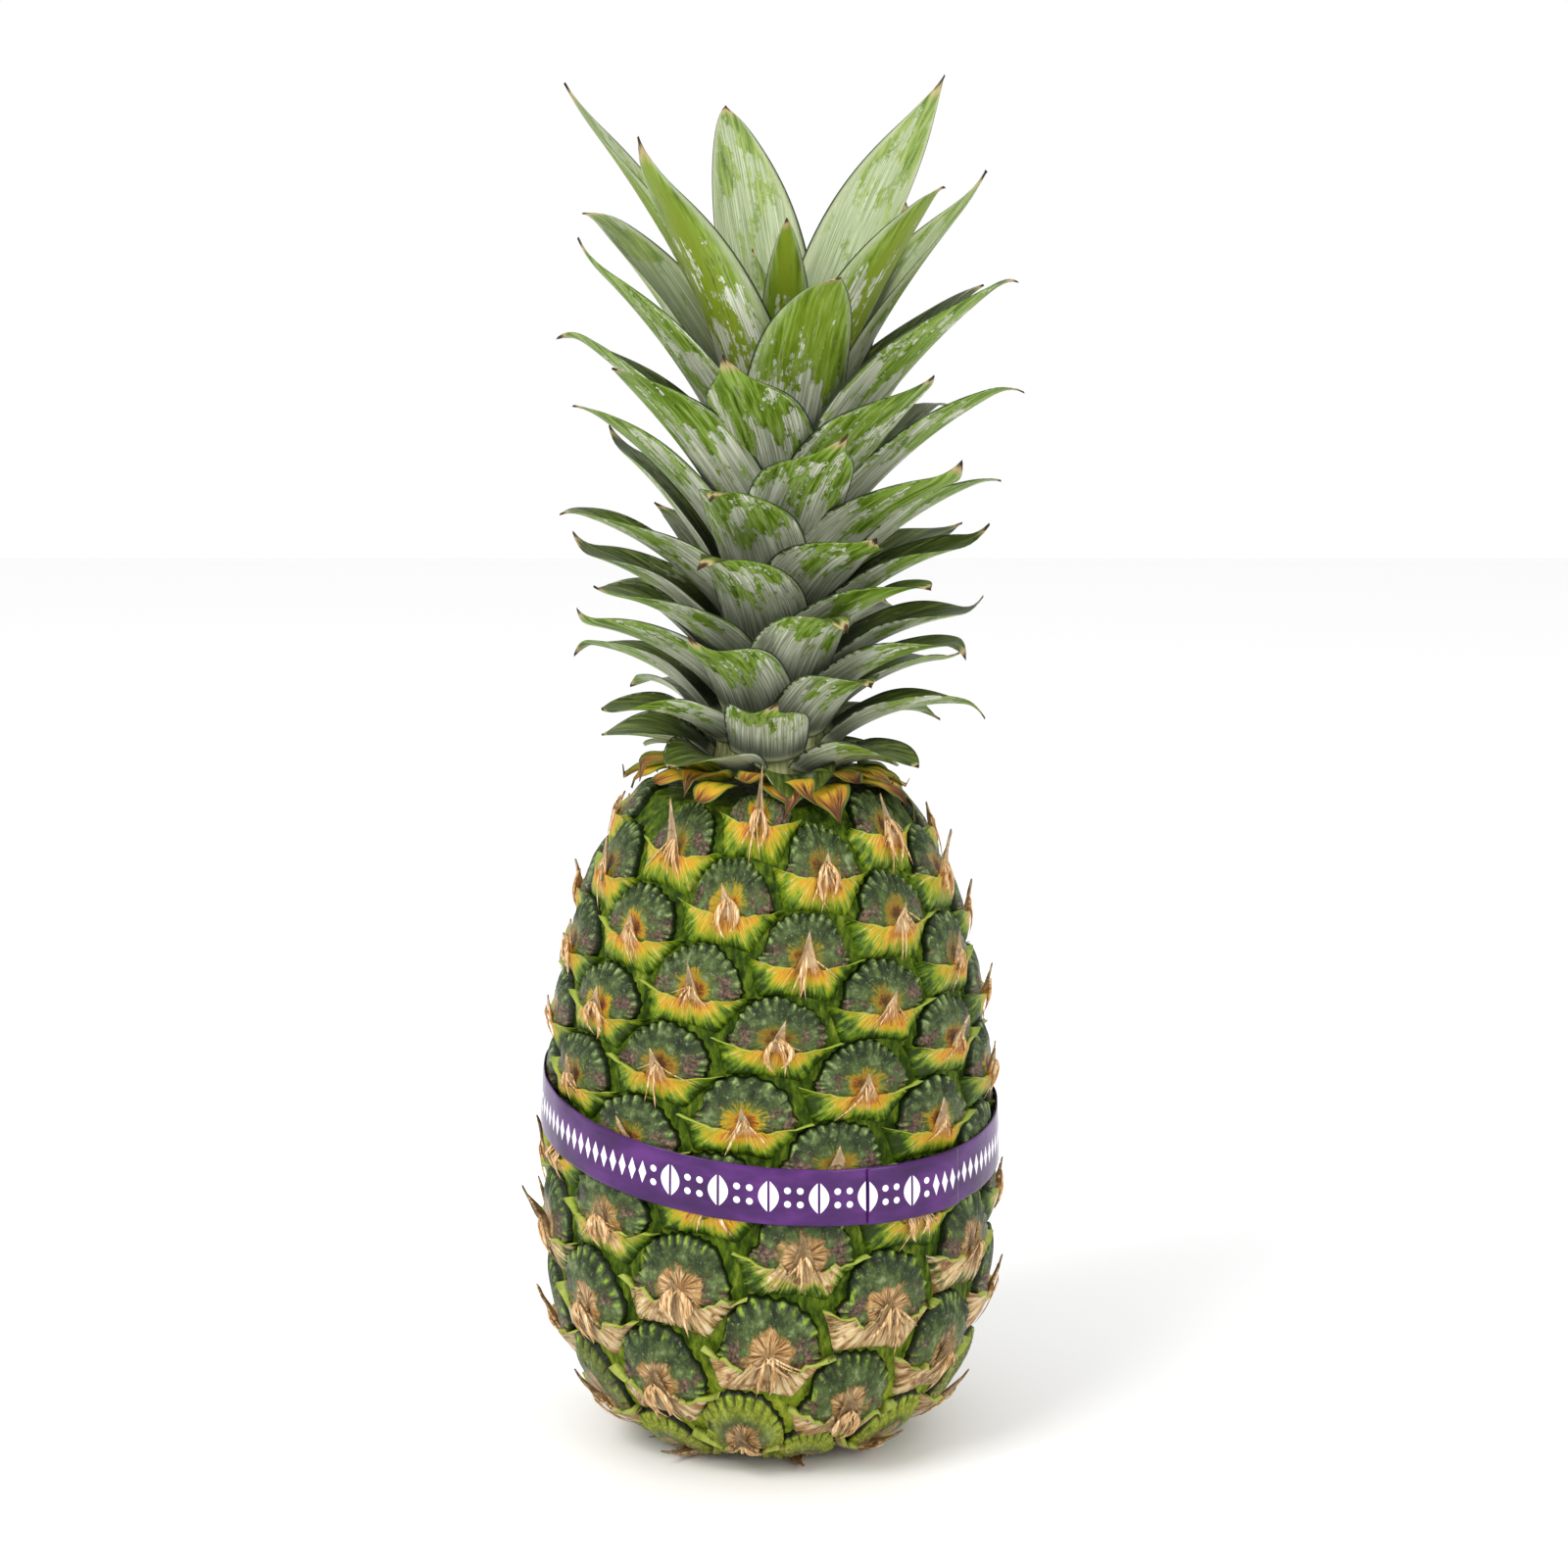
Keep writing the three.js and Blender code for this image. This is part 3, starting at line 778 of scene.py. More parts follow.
# %% The leaf spiral
LEAF_COUNT = 56
LEAF_TURN = -137.508
FIRST_LEAF_ANGLE = 134.9
STEM_RADIUS = 14.5
STEM_TOP_RADIUS = 4.2
STEM_HEIGHT = 82
LEAF_THICKNESS = 1.5
CROWN_BASE = 174
CROWN_LEAN = math.radians(2.6)
LEAF_GAP = 0.5
LOWEST_FOOT, FOOT_POWER = 2, 1.1
LEAF_REACH = 56
LOWEST_TIP, TIP_RISE, TIP_RISE_POWER = 14, 156, 1.4
LOWEST_BEND, HIGHEST_BEND = 26, 11
LEAF_WIDTH, MIDDLE_LEAF_WIDTH = 23, 27.5
FLATTEST_GUTTER = 16
TIP_START = 0.86  # a dried tip curls from here on
ODD_LEAVES = {
    1: {"reach": -14, "rise": 4},
    4: {"rise": -2},
    6: {"reach": -8, "rise": 7},
    9: {"reach": -8, "rise": 9},
    11: {"rise": 6},
    14: {"turn": 5, "rise": 4},
    17: {"turn": -8},
    24: {"rise": -4},
    27: {"rise": -10},
    29: {"rise": -4},
    30: {"turn": 12, "rise": -4},
    32: {"rise": -8},
    33: {"reach": -6, "rise": -2},
    35: {"turn": 8, "rise": -15},
    36: {"rise": -6},
    38: {"rise": -6},
    40: {"turn": 4, "rise": -14},
    41: {"rise": -8},
    43: {"reach": -4, "rise": -22},
    45: {"rise": -3},
    46: {"rise": -4},
    48: {"turn": -6, "reach": -8, "rise": -14},
    49: {"turn": 3, "rise": -9},
    50: {"turn": 4, "reach": -10},
    51: {"turn": -5, "reach": 3, "rise": 2},
    52: {"turn": 12, "reach": 4, "rise": 9},
    53: {"turn": 7, "reach": -4, "rise": -8},
    55: {"turn": 1, "reach": -5, "rise": 4},
}


def blade_form(angle, foot, foot_radius, tip_radius, tip_height, bend, width, sweep=0, twist=0, odd=0.0):
    """A leaf whose midline is an arc from its foot to its tip. Angles are in degrees, lengths in mm.

    odd, from -1 to 1, sets how the dried tip curls and where the margin waves.
    """
    across, up = tip_radius - foot_radius, tip_height - foot
    bend = math.radians(bend)
    return {
        "angle": math.radians(angle),
        "foot": foot,
        "foot_radius": foot_radius,
        "lean": math.atan2(across, up),
        "bend": bend,
        "length": math.hypot(across, up) * bend / math.sin(bend),
        "width": width,
        "sweep": sweep,
        "twist": math.radians(twist),
        "phase": 7 * odd,
        "hook": 3.5 * odd,
        "droop": 4.0 * math.sin(9 * odd),
    }


def leaf_form(n):
    """The shape of leaf n of the spiral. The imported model's leaves are 0 to 55."""
    odd = {"turn": 0, "reach": 0, "rise": 0, **ODD_LEAVES.get(n, {})}
    age = (n + 2) / (LEAF_COUNT + 1)
    foot = LOWEST_FOOT + (STEM_HEIGHT - LOWEST_FOOT) * age**FOOT_POWER
    stem_radius = STEM_RADIUS + (STEM_TOP_RADIUS - STEM_RADIUS) * foot / STEM_HEIGHT
    return blade_form(
        angle=FIRST_LEAF_ANGLE - 90 + LEAF_TURN * n + 4 * scatter(n, 0.3247) + odd["turn"],
        foot=foot,
        foot_radius=stem_radius + LEAF_GAP + LEAF_THICKNESS / 2,
        tip_radius=LEAF_REACH + 4 * scatter(n, 0.7549) + odd["reach"],
        tip_height=LOWEST_TIP + TIP_RISE * age**TIP_RISE_POWER + 3 * scatter(n, 0.5698) + odd["rise"],
        bend=LOWEST_BEND + (HIGHEST_BEND - LOWEST_BEND) * age,
        width=LEAF_WIDTH + (MIDDLE_LEAF_WIDTH - LEAF_WIDTH) * math.sin(math.pi * 0.75 * age),
        sweep=4 * scatter(n, 0.6823),
        twist=14 * scatter(n, 0.4142),
        odd=scatter(n, 0.9129),
    )


def leaf_points(form, side, along, face):
    """Points of a blade. side is -1 to 1 across, along 0 to 1, and face -1 outside to 1 inside."""
    first = form["lean"] - form["bend"]
    lean = first + 2 * form["bend"] * along
    scale = form["length"] / (2 * form["bend"])
    radius = form["foot_radius"] + scale * (np.cos(first) - np.cos(lean))
    height = form["foot"] + scale * (np.sin(lean) - np.sin(first))
    outline = (0.85 + along) * (1 - along**1.6) ** 0.9
    width = np.minimum(form["width"] * outline, 1.65 * radius)
    gutter = np.minimum(radius / np.maximum(np.cos(lean), 0.3), FLATTEST_GUTTER)
    across = side * width / 2
    thickness = LEAF_THICKNESS * (1 - 0.6 * along) * (1 - side**2)
    sideways = gutter * np.sin(across / gutter)
    waves = 0.45 * np.sin(9 * along + form["phase"]) * side**2 * np.sign(side) * smoothstep(along, 0.15, 0.4)
    lifted = gutter * (1 - np.cos(across / gutter)) + face * thickness / 2 + waves
    roll = form["twist"] * along
    rolled_side = sideways * np.cos(roll) - lifted * np.sin(roll)
    rolled_up = sideways * np.sin(roll) + lifted * np.cos(roll)
    x = radius - rolled_up * np.cos(lean)
    y = rolled_side + form["sweep"] * along**2
    z = height + rolled_up * np.sin(lean)
    at_tip = np.maximum(0, along - TIP_START) / (1 - TIP_START)
    y = y + form["hook"] * at_tip**2.5
    z = z + form["droop"] * at_tip**2.5
    c, s = math.cos(form["angle"]), math.sin(form["angle"])
    return lean_crown(np.stack([x * c - y * s, x * s + y * c, z], axis=-1)), across


def lean_crown(points):
    """Stands points of the crown on the fruit, with the crown's lean to the right."""
    x, y, z = points[..., 0], points[..., 1], points[..., 2]
    c, s = math.cos(CROWN_LEAN), math.sin(CROWN_LEAN)
    return np.stack([x * c + z * s, y, z * c - x * s + CROWN_BASE], axis=-1)


# %% [markdown]
# ### Leaf colour
#
# A pineapple leaf is dark green under a grey-white scurf, a bloom of tiny scales. The scurf is whole on the
# lower half. Further up it has rubbed off in sharp-edged patches and long scratches, and the green shows. A
# thin dark line runs along each margin, and the tip has dried to tan and then brown.

# %% Leaf material
leaf_material, tree, shader = new_material("scurfy_leaf")
along, side, face = (add(tree, "Attribute " + name) for name in ("along", "side", "face"))
seed, young = (add(tree, "Attribute " + name) for name in ("seed", "young"))
uv = add(tree, "UVMap blade")
across, up = (add(tree, "SeparateXYZ", uv, out=axis) for axis in (0, 1))
third = add(tree, "Math ADD", add(tree, "Math MULTIPLY", seed, 57.0), add(tree, "Math MULTIPLY", face, 3.0))
patches = stretched_noise(tree, (across, up, third), (0.2, 0.07, 1.0), 4.0, 0.6)
scratches = stretched_noise(tree, (across, up, third), (0.9, 0.07, 1.0), 3.0, 0.6)
lines = stretched_noise(tree, (across, up, third), (4.0, 0.05, 1.0), 2.0)
flakes = stretched_noise(tree, (across, up, third), (0.9, 0.5, 1.0), 5.0, 0.7)
green = add(
    tree, "ValToRGB", scratches,
    stops=[(0.3, "#34490c"), (0.45, "#5d7a18"), (0.58, "#84a044"), (0.7, "#b1bd80")],
)
green = add(
    tree, "Mix RGBA",
    add(
        tree, "Math MULTIPLY", young,
        add(tree, "MapRange SMOOTHSTEP", add(tree, "Math ABSOLUTE", side), 1.0, 0.2),
    ),
    green, "#76891f",
)
scurf = add(
    tree, "ValToRGB", lines,
    stops=[(0.3, "#777f62"), (0.46, "#a5ac90"), (0.58, "#cdd2bb"), (0.72, "#e9ebdb")],
)
scurf = add(
    tree, "Mix RGBA", add(tree, "Math MULTIPLY", add(tree, "MapRange SMOOTHSTEP", patches, 0.42, 0.6), 0.4),
    scurf, "#858d70",
)
worn = add(
    tree, "Math ADD", add(tree, "Math MULTIPLY", along, 0.6), add(tree, "Math MULTIPLY", patches, 1.25)
)
worn = add(tree, "Math ADD", worn, add(tree, "Math MULTIPLY", scratches, 0.6))
worn = add(tree, "Math ADD", worn, add(tree, "Math MULTIPLY", flakes, 0.5))
worn = add(tree, "Math ADD", worn, add(tree, "Math MULTIPLY", young, 0.1))
bare = add(tree, "MapRange SMOOTHSTEP", worn, 1.475, 1.525)
outer = add(tree, "Mix RGBA", bare, scurf, green)
scored = add(
    tree, "Math MULTIPLY", add(tree, "MapRange SMOOTHSTEP", scratches, 0.62, 0.68),
    add(tree, "MapRange SMOOTHSTEP", along, 0.25, 0.5),
)
outer = add(tree, "Mix RGBA", add(tree, "Math MULTIPLY", scored, 0.7), outer, "#2f4326")
inner_green = add(tree, "ValToRGB", scratches, stops=[(0.3, "#232e10"), (0.5, "#42501a"), (0.7, "#6f7f38")])
silver = add(tree, "ValToRGB", lines, stops=[(0.3, "#76835c"), (0.5, "#9fab84"), (0.68, "#c2cbad")])
mossy = add(tree, "ValToRGB", scratches, stops=[(0.35, "#55702a"), (0.5, "#7b9146"), (0.65, "#98a864")])
young_inside = add(tree, "Mix RGBA", add(tree, "MapRange SMOOTHSTEP", worn, 1.66, 1.78), silver, mossy)
inner_green = add(tree, "Mix RGBA", add(tree, "Math MULTIPLY", young, 0.9), inner_green, young_inside)
inner = add(tree, "Mix RGBA", add(tree, "MapRange SMOOTHSTEP", worn, 1.32, 1.22), inner_green, "#858c70")
base = add(tree, "Mix RGBA", add(tree, "MapRange SMOOTHSTEP", face, -0.1, 0.1), outer, inner)
# painted shade: near black-green on the lower part of every blade and further up its inner face, where the
# leaves overlap and shade each other
inner_face_painted_shade = add(
    tree, "Math MULTIPLY", add(tree, "MapRange SMOOTHSTEP", face, -0.1, 0.1),
    add(tree, "MapRange SMOOTHSTEP", along, 0.55, 0.2),
)
painted_overlap_shade = add(
    tree, "Math MAXIMUM", add(tree, "Math MULTIPLY", inner_face_painted_shade, 0.85),
    add(tree, "Math MULTIPLY", add(tree, "MapRange SMOOTHSTEP", along, 0.34, 0.08), 0.65),
)
base = add(tree, "Mix RGBA", painted_overlap_shade, base, "#1f2a14")
foot = add(tree, "MapRange SMOOTHSTEP", along, 0.08, 0.01)
base = add(tree, "Mix RGBA", foot, base, "#b9bd94")
near_edge = add(tree, "Math ABSOLUTE", side)
pale_edge = add(
    tree, "Math MULTIPLY", add(tree, "MapRange SMOOTHSTEP", near_edge, 0.72, 0.9),
    add(tree, "MapRange SMOOTHSTEP", young, 0.2, 0.8),
)
base = add(tree, "Mix RGBA", add(tree, "Math MULTIPLY", pale_edge, 0.7), base, "#a8b08c")
base = add(tree, "Mix RGBA", add(tree, "MapRange SMOOTHSTEP", near_edge, 0.95, 0.985), base, "#37482a")
ending = add(
    tree, "Math ADD", along, add(tree, "Math MULTIPLY", add(tree, "Math SUBTRACT", scratches, 0.5), 0.08)
)
base = add(tree, "Mix RGBA", add(tree, "MapRange SMOOTHSTEP", ending, 0.94, 0.975), base, "#a99a6a")
base = add(tree, "Mix RGBA", add(tree, "MapRange SMOOTHSTEP", ending, 0.97, 0.988), base, "#3f2c1b")
relief = add(tree, "Math ADD", lines, add(tree, "Math MULTIPLY", bare, -0.2))
finish(
    tree, shader, base, add(tree, "Math MULTIPLY_ADD", bare, -0.2, 0.62), relief, 0.0004, 0.5, shine=0.18
)

# %% [markdown]
# A blade is a flat grid wrapped round on itself, so it has an outer and an inner face. Its points are put on
# the leaf's arc, and its seam and tip are joined. Numbers at each point tell the material where it is.

# %% Leaves
LEAF_ROWS = 40
LEAF_LOOP = 32


def flat_grid(name, across, along):
    """A grid from -1 to 1 both ways, and its points."""
    shape = bmesh.new()
    bmesh.ops.create_grid(shape, x_segments=across, y_segments=along, size=1)
    mesh = bpy.data.meshes.new(name)
    shape.to_mesh(mesh)
    shape.free()
    return mesh, points_of(mesh)


def close_up(mesh):
    """Joins a wrapped grid along its seam and at its tip, and fills what's still open."""
    shape = bmesh.new()
    shape.from_mesh(mesh)
    bmesh.ops.remove_doubles(shape, verts=shape.verts[:], dist=2e-6)
    bmesh.ops.holes_fill(shape, edges=[e for e in shape.edges if e.is_boundary], sides=0)
    bmesh.ops.recalc_face_normals(shape, faces=shape.faces[:])
    still_open = sum(e.is_boundary for e in shape.edges)
    shape.to_mesh(mesh)
    shape.free()
    return still_open


def leaf_mesh(name, form, loop=LEAF_LOOP, rows=LEAF_ROWS, **numbers):
    """A blade. The grid is wrapped round: its middle column is one margin and its two ends are the other."""
    mesh, flat = flat_grid(name, loop, rows)
    along, side, face = (flat[:, 1] + 1) / 2, 1 - 2 * np.abs(flat[:, 0]), np.sign(flat[:, 0])
    points, across = leaf_points(form, side, along, face)
    move_points(mesh, points)
    give_numbers(mesh, along=along, side=side, face=face, **numbers)
    give_uv(mesh, "blade", across, along * form["length"])
    close_up(mesh)
    return mesh


leaf_forms = {f"leaf_{n + 1:02d}": leaf_form(n) for n in range(LEAF_COUNT)}
for place, (name, form) in enumerate(leaf_forms.items()):
    young = float(smoothstep(place, 44, 52))
    form["width"] *= 1 + 0.12 * float(smoothstep(place, 30, 46))  # broader than the plain solids
    mesh = leaf_mesh(name + "_blade", form, seed=place * 0.37 % 1, young=young)
    piece(name + "_blade", mesh, leaf_material, name, slot="leaf")

# %% [markdown]
# Some leaves are too small for nodes of their own. Short broad ones close the crown below, and a few
# narrow ones stand round the bud. They're part of the stem's piece, as they hide it.

# %% Small leaves
LOW_LEAVES, HEART_LEAVES = 7, 5
for k in range(LOW_LEAVES):
    low = blade_form(
        angle=FIRST_LEAF_ANGLE - 90 - LEAF_TURN * (k + 1), foot=1.6 - 0.15 * k, foot_radius=STEM_RADIUS + 1,
        tip_radius=47 - 2.2 * k + 4 * scatter(k, 0.7549), tip_height=9 - 1.7 * k + 2 * scatter(k, 0.5698),
        bend=30, width=23, sweep=4 * scatter(k, 0.6823), twist=12 * scatter(k, 0.4142),
    )
    piece(
        f"low_leaf_{k + 1}", leaf_mesh(f"low_leaf_{k + 1}", low, 24, 24, seed=k / 9, young=0.0),
        leaf_material, "crown_stem", slot="leaf",
    )
for k in range(HEART_LEAVES):
    heart = blade_form(
        angle=FIRST_LEAF_ANGLE - 90 + LEAF_TURN * (LEAF_COUNT + k), foot=STEM_HEIGHT + 1.5 * k,
        foot_radius=4.5 - 0.6 * k, tip_radius=20 - 3 * k, tip_height=140 - 9 * k, bend=8, width=15 - 1.5 * k,
    )
    piece(f"heart_leaf_{k + 1}", leaf_mesh(f"heart_leaf_{k + 1}", heart, 24, 24, seed=k / 7, young=1.0),
          leaf_material, "crown_stem", slot="leaf")

# %% [markdown]
# ### The collar
#
# Round the crown's foot the last bracts of the fruit bend out like a ruff. They carry no eye, so each is a
# short blade of its own: green at the foot, orange along the middle and dead brown at the point.

# %% Collar
COLLAR_BRACTS = 30
collar_material, tree, shader = new_material("collar_bract")
along, side, seed = (add(tree, "Attribute " + name) for name in ("along", "side", "seed"))
streaks = stretched_noise(tree, (side, along, seed), (5.0, 1.2, 71.0))
ripe = add(
    tree, "Math ADD", along, add(tree, "Math MULTIPLY", add(tree, "Math SUBTRACT", streaks, 0.5), 1.3)
)
ripe = add(tree, "Math ADD", ripe, add(tree, "Math MULTIPLY", add(tree, "Math SUBTRACT", seed, 0.5), 0.35))
base = add(
    tree, "ValToRGB", ripe,
    stops=[(0.1, "#5d7020"), (0.36, "#aaa024"), (0.58, "#d0a330"), (0.8, "#9a672f"), (0.98, "#4b2d1c")],
)
base = add(
    tree, "Mix RGBA", add(tree, "MapRange SMOOTHSTEP", add(tree, "Math ABSOLUTE", side), 0.75, 0.95), base,
    "#6a7f30",
)
finish(tree, shader, base, 0.6, streaks, 0.0005, shine=0.18)
shape = bmesh.new()
for k in range(COLLAR_BRACTS):
    outer = k / COLLAR_BRACTS
    form = blade_form(
        angle=LEAF_TURN * k + 12 * scatter(k, 0.31), foot=1.2 - 1.8 * outer, foot_radius=17 + 9 * outer,
        tip_radius=33 + 6 * outer + 3 * scatter(k, 0.43), tip_height=3 - 9 * outer + 3 * scatter(k, 0.77),
        bend=26, odd=scatter(k, 0.53), width=13 + 5 * scatter(k, 0.19), sweep=3 * scatter(k, 0.6823),
        twist=20 * scatter(k, 0.4142),
    )
    mesh = leaf_mesh("collar_bract", form, 16, 12, seed=k * 0.618 % 1)
    shape.from_mesh(mesh)
    bpy.data.meshes.remove(mesh)
collar_mesh = bpy.data.meshes.new("collar_bracts")
shape.to_mesh(collar_mesh)
shape.free()
piece("collar_bracts", collar_mesh, collar_material, "fruit", slot="rind")
print("collar faces", len(collar_mesh.polygons))

# %% [markdown]
# ### The crown's stem
#
# The stem is a cone with a bud on top. The scars of leaves ring it, so its profile is wavy, and it's spun.

# %% Crown stem
STEM_STEPS = 60
SCAR_DEPTH = 0.25
outline = [(0, 0), (STEM_RADIUS - 1, 0)]
for step in range(1, STEM_STEPS):
    height = (STEM_HEIGHT + 4) * step / STEM_STEPS
    radius = STEM_RADIUS + (STEM_TOP_RADIUS - STEM_RADIUS) * height / STEM_HEIGHT
    outline.append((radius + SCAR_DEPTH * math.sin(height * 2.1), height))
bud = [(3.4, 6), (2.4, 9), (1.0, 11.4), (0, 12)]
outline += [(radius, STEM_HEIGHT + height) for radius, height in bud]
stem_shape = spun([(radius * MM, height * MM) for radius, height in outline], 48)
stem_mesh = mesh_of("crown_stem_core", stem_shape)
move_points(stem_mesh, lean_crown(points_of(stem_mesh) / MM))
stem_material, tree, shader = new_material("fibrous_stem")
where = add(tree, "TexCoord", out="Object")
squeezed = add(tree, "Mapping", where, Scale=(900.0, 900.0, 90.0))
fibres = add(tree, "TexNoise", squeezed, Scale=1.0, Detail=3.0)
base = add(tree, "ValToRGB", fibres, stops=[(0.3, "#77803f"), (0.5, "#a5a870"), (0.7, "#cfcba0")])
finish(tree, shader, base, 0.8, fibres, 0.0004)
piece("crown_stem_core", stem_mesh, stem_material, "crown_stem", slot="crown_stem")

# %% [markdown]
# ## The cut stalk
#
# The cut face is level with the resting surface. A saw left it slightly rough, with the ends of the fibre
# bundles as dots, and its rind as a brown ring. The edge has a small bevel, so the profile has one point
# more.

# %% Stalk end
STALK_CUT, STALK_DEEP = 13, 14
BEVEL = 0.6
cut_face = [(0, 0), (4, 0), (8, 0), (STALK_CUT - BEVEL, 0), (STALK_CUT, BEVEL)]
outline = [*cut_face, (STALK_CUT, STALK_DEEP), (0, STALK_DEEP)]
stalk_mesh = mesh_of("stalk_cut", spun([(radius * MM, height * MM) for radius, height in outline], 64))
stalk_material, tree, shader = new_material("cut_stalk")
where = add(tree, "TexCoord", out="Object")
level = [add(tree, "SeparateXYZ", where, out=axis) for axis in (0, 1)]
squares = [add(tree, "Math POWER", add(tree, "Math MULTIPLY", metres, 1000.0), 2.0) for metres in level]
radius = add(tree, "Math SQRT", add(tree, "Math ADD", *squares))
bundles = add(tree, "TexVoronoi", where, Scale=620.0)
patchy = add(tree, "TexNoise", where, Scale=300.0, Detail=4.0)
base = add(tree, "ValToRGB", patchy, stops=[(0.35, "#a58a58"), (0.5, "#c4ab78"), (0.65, "#d8c596")])
base = add(tree, "Mix RGBA", add(tree, "MapRange SMOOTHSTEP", bundles, 0.4, 0.25), base, "#7d5c34")
base = add(tree, "Mix RGBA", add(tree, "MapRange SMOOTHSTEP", radius, 11.0, 12.6), base, "#5c4222")
finish(tree, shader, base, 0.9, bundles, 0.0004)
piece("stalk_cut", stalk_mesh, stalk_material, "stalk_end", slot="cut_stalk")

# %% [markdown]
# ## The tape
#
# The tape is stiff glossy plastic, 0.45 mm thick, so it doesn't drape: it runs from eye to eye in smooth
# curves. A grid wrapped both ways makes it, once round the fruit and once round the tape's own section. The
# free end lies over its start at the right of the front, and is a second, short strip.

# %% Tape
BAND_THICKNESS = 0.45
BAND_GAP = 0.35
BAND_COLUMNS = 28
OVERLAP_FROM, OVERLAP_TO = math.radians(-66), math.radians(-38)


def band_mesh(name, first, last, around, lift):
    mesh, flat = flat_grid(name, around, BAND_COLUMNS)
    angle = first + (last - first) * (flat[:, 0] + 1) / 2
    turn = math.pi * flat[:, 1]
    up = -BAND_WIDTH / 2 * np.cos(turn)
    out = BAND_THICKNESS / 2 * np.sign(np.sin(turn)) * np.abs(np.sin(turn)) ** 0.3
    height = band_middle(angle) + up
    folds = np.sin(9 * angle + 0.09 * up) * np.sin(4 * angle + 1)
    creases = 0.22 * np.maximum(0, folds) + 0.08 * np.sin(23 * angle)
    radius = (FRUIT_RADIUS + BAND_GAP + BAND_THICKNESS / 2) * skin_radius(height) / FRUIT_RADIUS
    radius = radius + out + np.maximum(creases, 0) + lift
    points = np.stack([radius * np.cos(angle), radius * np.sin(angle), height], axis=-1)
    move_points(mesh, points)
    give_uv(mesh, "tape", angle * FRUIT_RADIUS, up)
    give_numbers(mesh, outside=np.sin(turn))
    print(name, "open edges", close_up(mesh))
    return mesh


tape_material, tree, shader = new_material("purple_tape")
uv = add(tree, "UVMap tape")
u, v = (add(tree, "SeparateXYZ", uv, out=axis) for axis in (0, 1))
REPEAT = 123.0  # the printed marks repeat after this many mm
LEAF_HALF_HEIGHT, LEAF_HALF_WIDTH, VEIN_HALF_WIDTH = 4.1, 2.5, 0.32
DOT_ASIDE, DOT_UP, DOT_RADIUS_SQUARED = 4.6, 1.7, 0.7
LOZENGE_HALF_WIDTH, LOZENGE_HALF_HEIGHT = 1.1, 2.8


def within(value, half):
    return add(tree, "Math LESS_THAN", add(tree, "Math ABSOLUTE", value), half)


def cell(pitch, shift=0.0):
    """The place within a printed cell, from minus to plus half its pitch."""
    share = add(
        tree, "Math FRACT", add(tree, "Math ADD", add(tree, "Math DIVIDE", u, pitch), 100.0 + shift)
    )
    return add(tree, "Math MULTIPLY", add(tree, "Math SUBTRACT", share, 0.5), pitch)


# leaf shapes with a vein, between pairs of dots
at = cell(REPEAT / 10)
high = add(tree, "Math DIVIDE", add(tree, "Math ABSOLUTE", v), LEAF_HALF_HEIGHT)
v_share = add(tree, "Math POWER", high, 2.0)
half = add(tree, "Math MULTIPLY", add(tree, "Math SUBTRACT", 1.0, v_share), LEAF_HALF_WIDTH)
leaf = add(tree, "Math LESS_THAN", add(tree, "Math ABSOLUTE", at), half)
leaf = add(tree, "Math SUBTRACT", leaf, add(tree, "Math MULTIPLY", leaf, within(at, VEIN_HALF_WIDTH)))
side_dot = add(tree, "Math SUBTRACT", add(tree, "Math ABSOLUTE", at), DOT_ASIDE)
high_dot = add(tree, "Math SUBTRACT", add(tree, "Math ABSOLUTE", v), DOT_UP)
squares = [
    add(tree, "Math POWER", add(tree, "Math ABSOLUTE", value), 2.0) for value in (side_dot, high_dot)
]
dots = add(tree, "Math LESS_THAN", add(tree, "Math ADD", *squares), DOT_RADIUS_SQUARED)
leaves = add(tree, "Math MAXIMUM", leaf, dots)
# a row of lozenges
at = add(tree, "Math ABSOLUTE", cell(REPEAT / 40))
slanted = add(
    tree, "Math ADD", add(tree, "Math DIVIDE", at, LOZENGE_HALF_WIDTH),
    add(tree, "Math DIVIDE", add(tree, "Math ABSOLUTE", v), LOZENGE_HALF_HEIGHT),
)
lozenges = add(tree, "Math LESS_THAN", slanted, 1.0)
which = add(tree, "Math LESS_THAN", cell(REPEAT, 0.4), -0.1 * REPEAT)
marks = add(tree, "Mix FLOAT", which, leaves, lozenges)
marks = add(
    tree, "Math MULTIPLY", marks, add(tree, "Math GREATER_THAN", add(tree, "Attribute outside"), 0.0)
)
uneven = stretched_noise(tree, (u, v), (0.05, 0.12, 1.0))
purple = add(tree, "ValToRGB", uneven, stops=[(0.35, "#330f45"), (0.5, "#411757"), (0.65, "#55256b")])
base = add(tree, "Mix RGBA", marks, purple, "#e6e1ea")
finish(tree, shader, base, 0.22, uneven, 0.0006, 0.4, shine=0.2)
shader.inputs["Coat Weight"].default_value = 0.2
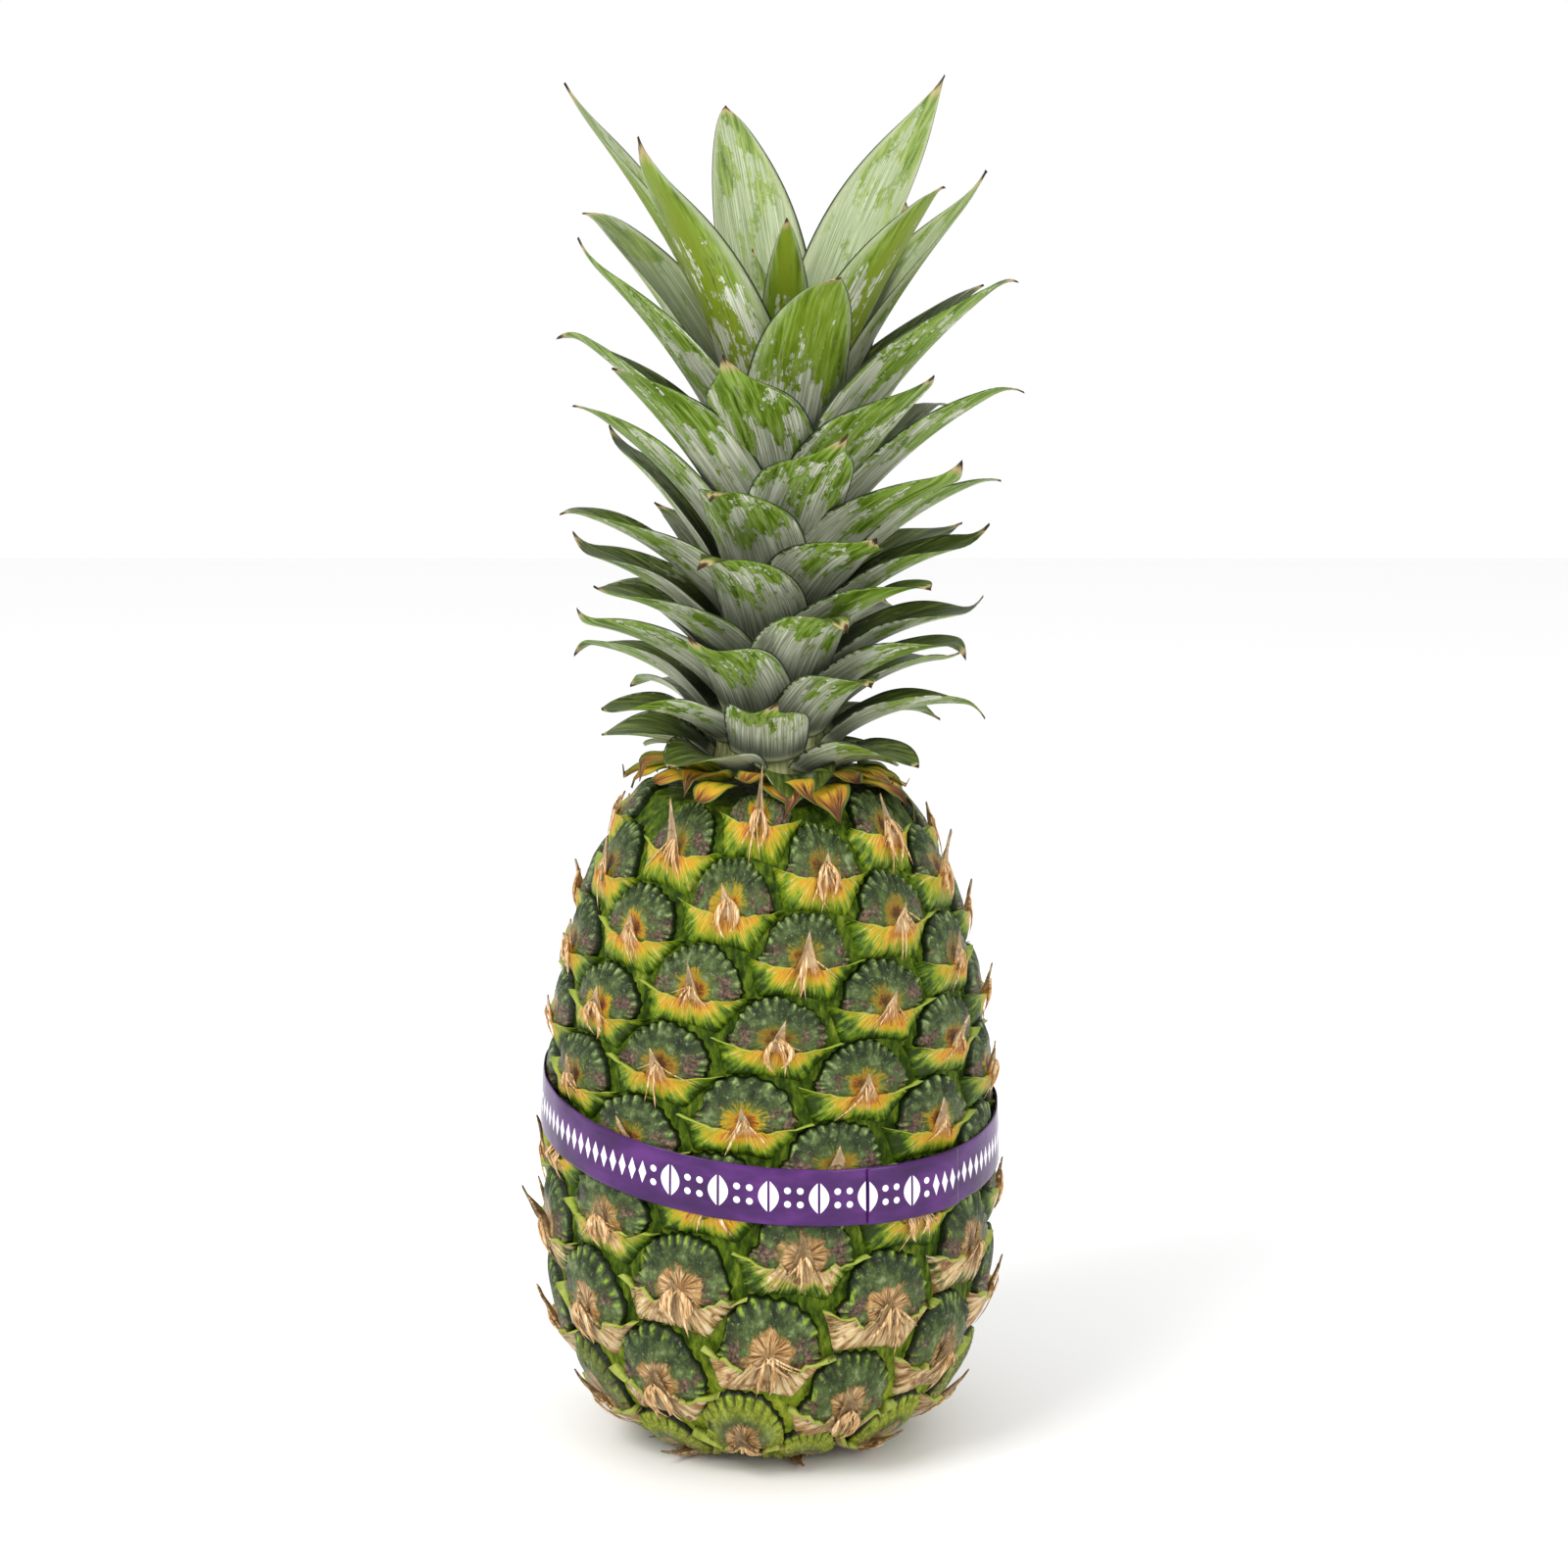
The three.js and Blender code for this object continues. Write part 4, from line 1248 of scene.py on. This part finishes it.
shader.inputs["Coat Roughness"].default_value = 0.12
strip = band_mesh("tape_strip", -math.pi, math.pi, 360, 0.0)
piece("tape_strip", strip, tape_material, "tape_band", slot="band_film")
overlap = band_mesh("tape_free_end", OVERLAP_FROM, OVERLAP_TO, 40, BAND_THICKNESS + 0.3)
piece("tape_free_end", overlap, tape_material, "tape_band", slot="band_film")

# %% [markdown]
# ## Stage, light and camera
#
# The fruit stands on white paper under a white sky. A strong soft light from the left shows its shape, and
# a weaker one from the right opens the shadows. A long lens looks slightly down on it.

# %% Stage, light and camera
bpy.ops.mesh.primitive_plane_add(size=4)
floor = bpy.context.object
floor_material, tree, shader = new_material("white_paper")
shader.inputs["Base Color"].default_value = (0.9, 0.9, 0.9, 1)
floor.data.materials.append(floor_material)
world = bpy.data.worlds.new("studio")
world.use_nodes = True
world.node_tree.nodes["Background"].inputs["Color"].default_value = (1, 1, 1, 1)
world.node_tree.nodes["Background"].inputs["Strength"].default_value = 1.0
bpy.context.scene.world = world


def soft_light(name, place, size, power):
    lamp = bpy.data.lights.new(name, "AREA")
    lamp.size = size
    lamp.energy = power
    thing = bpy.data.objects.new(name, lamp)
    bpy.context.scene.collection.objects.link(thing)
    thing.location = place
    aim = mathutils.Vector((0, 0, 0.17)) - thing.location
    thing.rotation_euler = aim.to_track_quat("-Z", "Y").to_euler()


soft_light("key", (-0.9, -1.0, 1.3), 0.8, 22)
soft_light("fill", (1.1, -1.1, 0.7), 1.0, 8)

ELEVATION = math.radians(10)
DISTANCE = 0.944
aim = mathutils.Vector((0.00375, 0, 0.1706))
camera = bpy.data.objects.new("camera", bpy.data.cameras.new("camera"))
camera.data.lens = 85
camera.data.sensor_width = 36
camera.location = aim + DISTANCE * mathutils.Vector((0, -math.cos(ELEVATION), math.sin(ELEVATION)))
camera.rotation_euler = (math.pi / 2 - ELEVATION, 0, 0)
bpy.context.scene.collection.objects.link(camera)
bpy.context.scene.camera = camera
bpy.context.scene.view_settings.view_transform = "Standard"
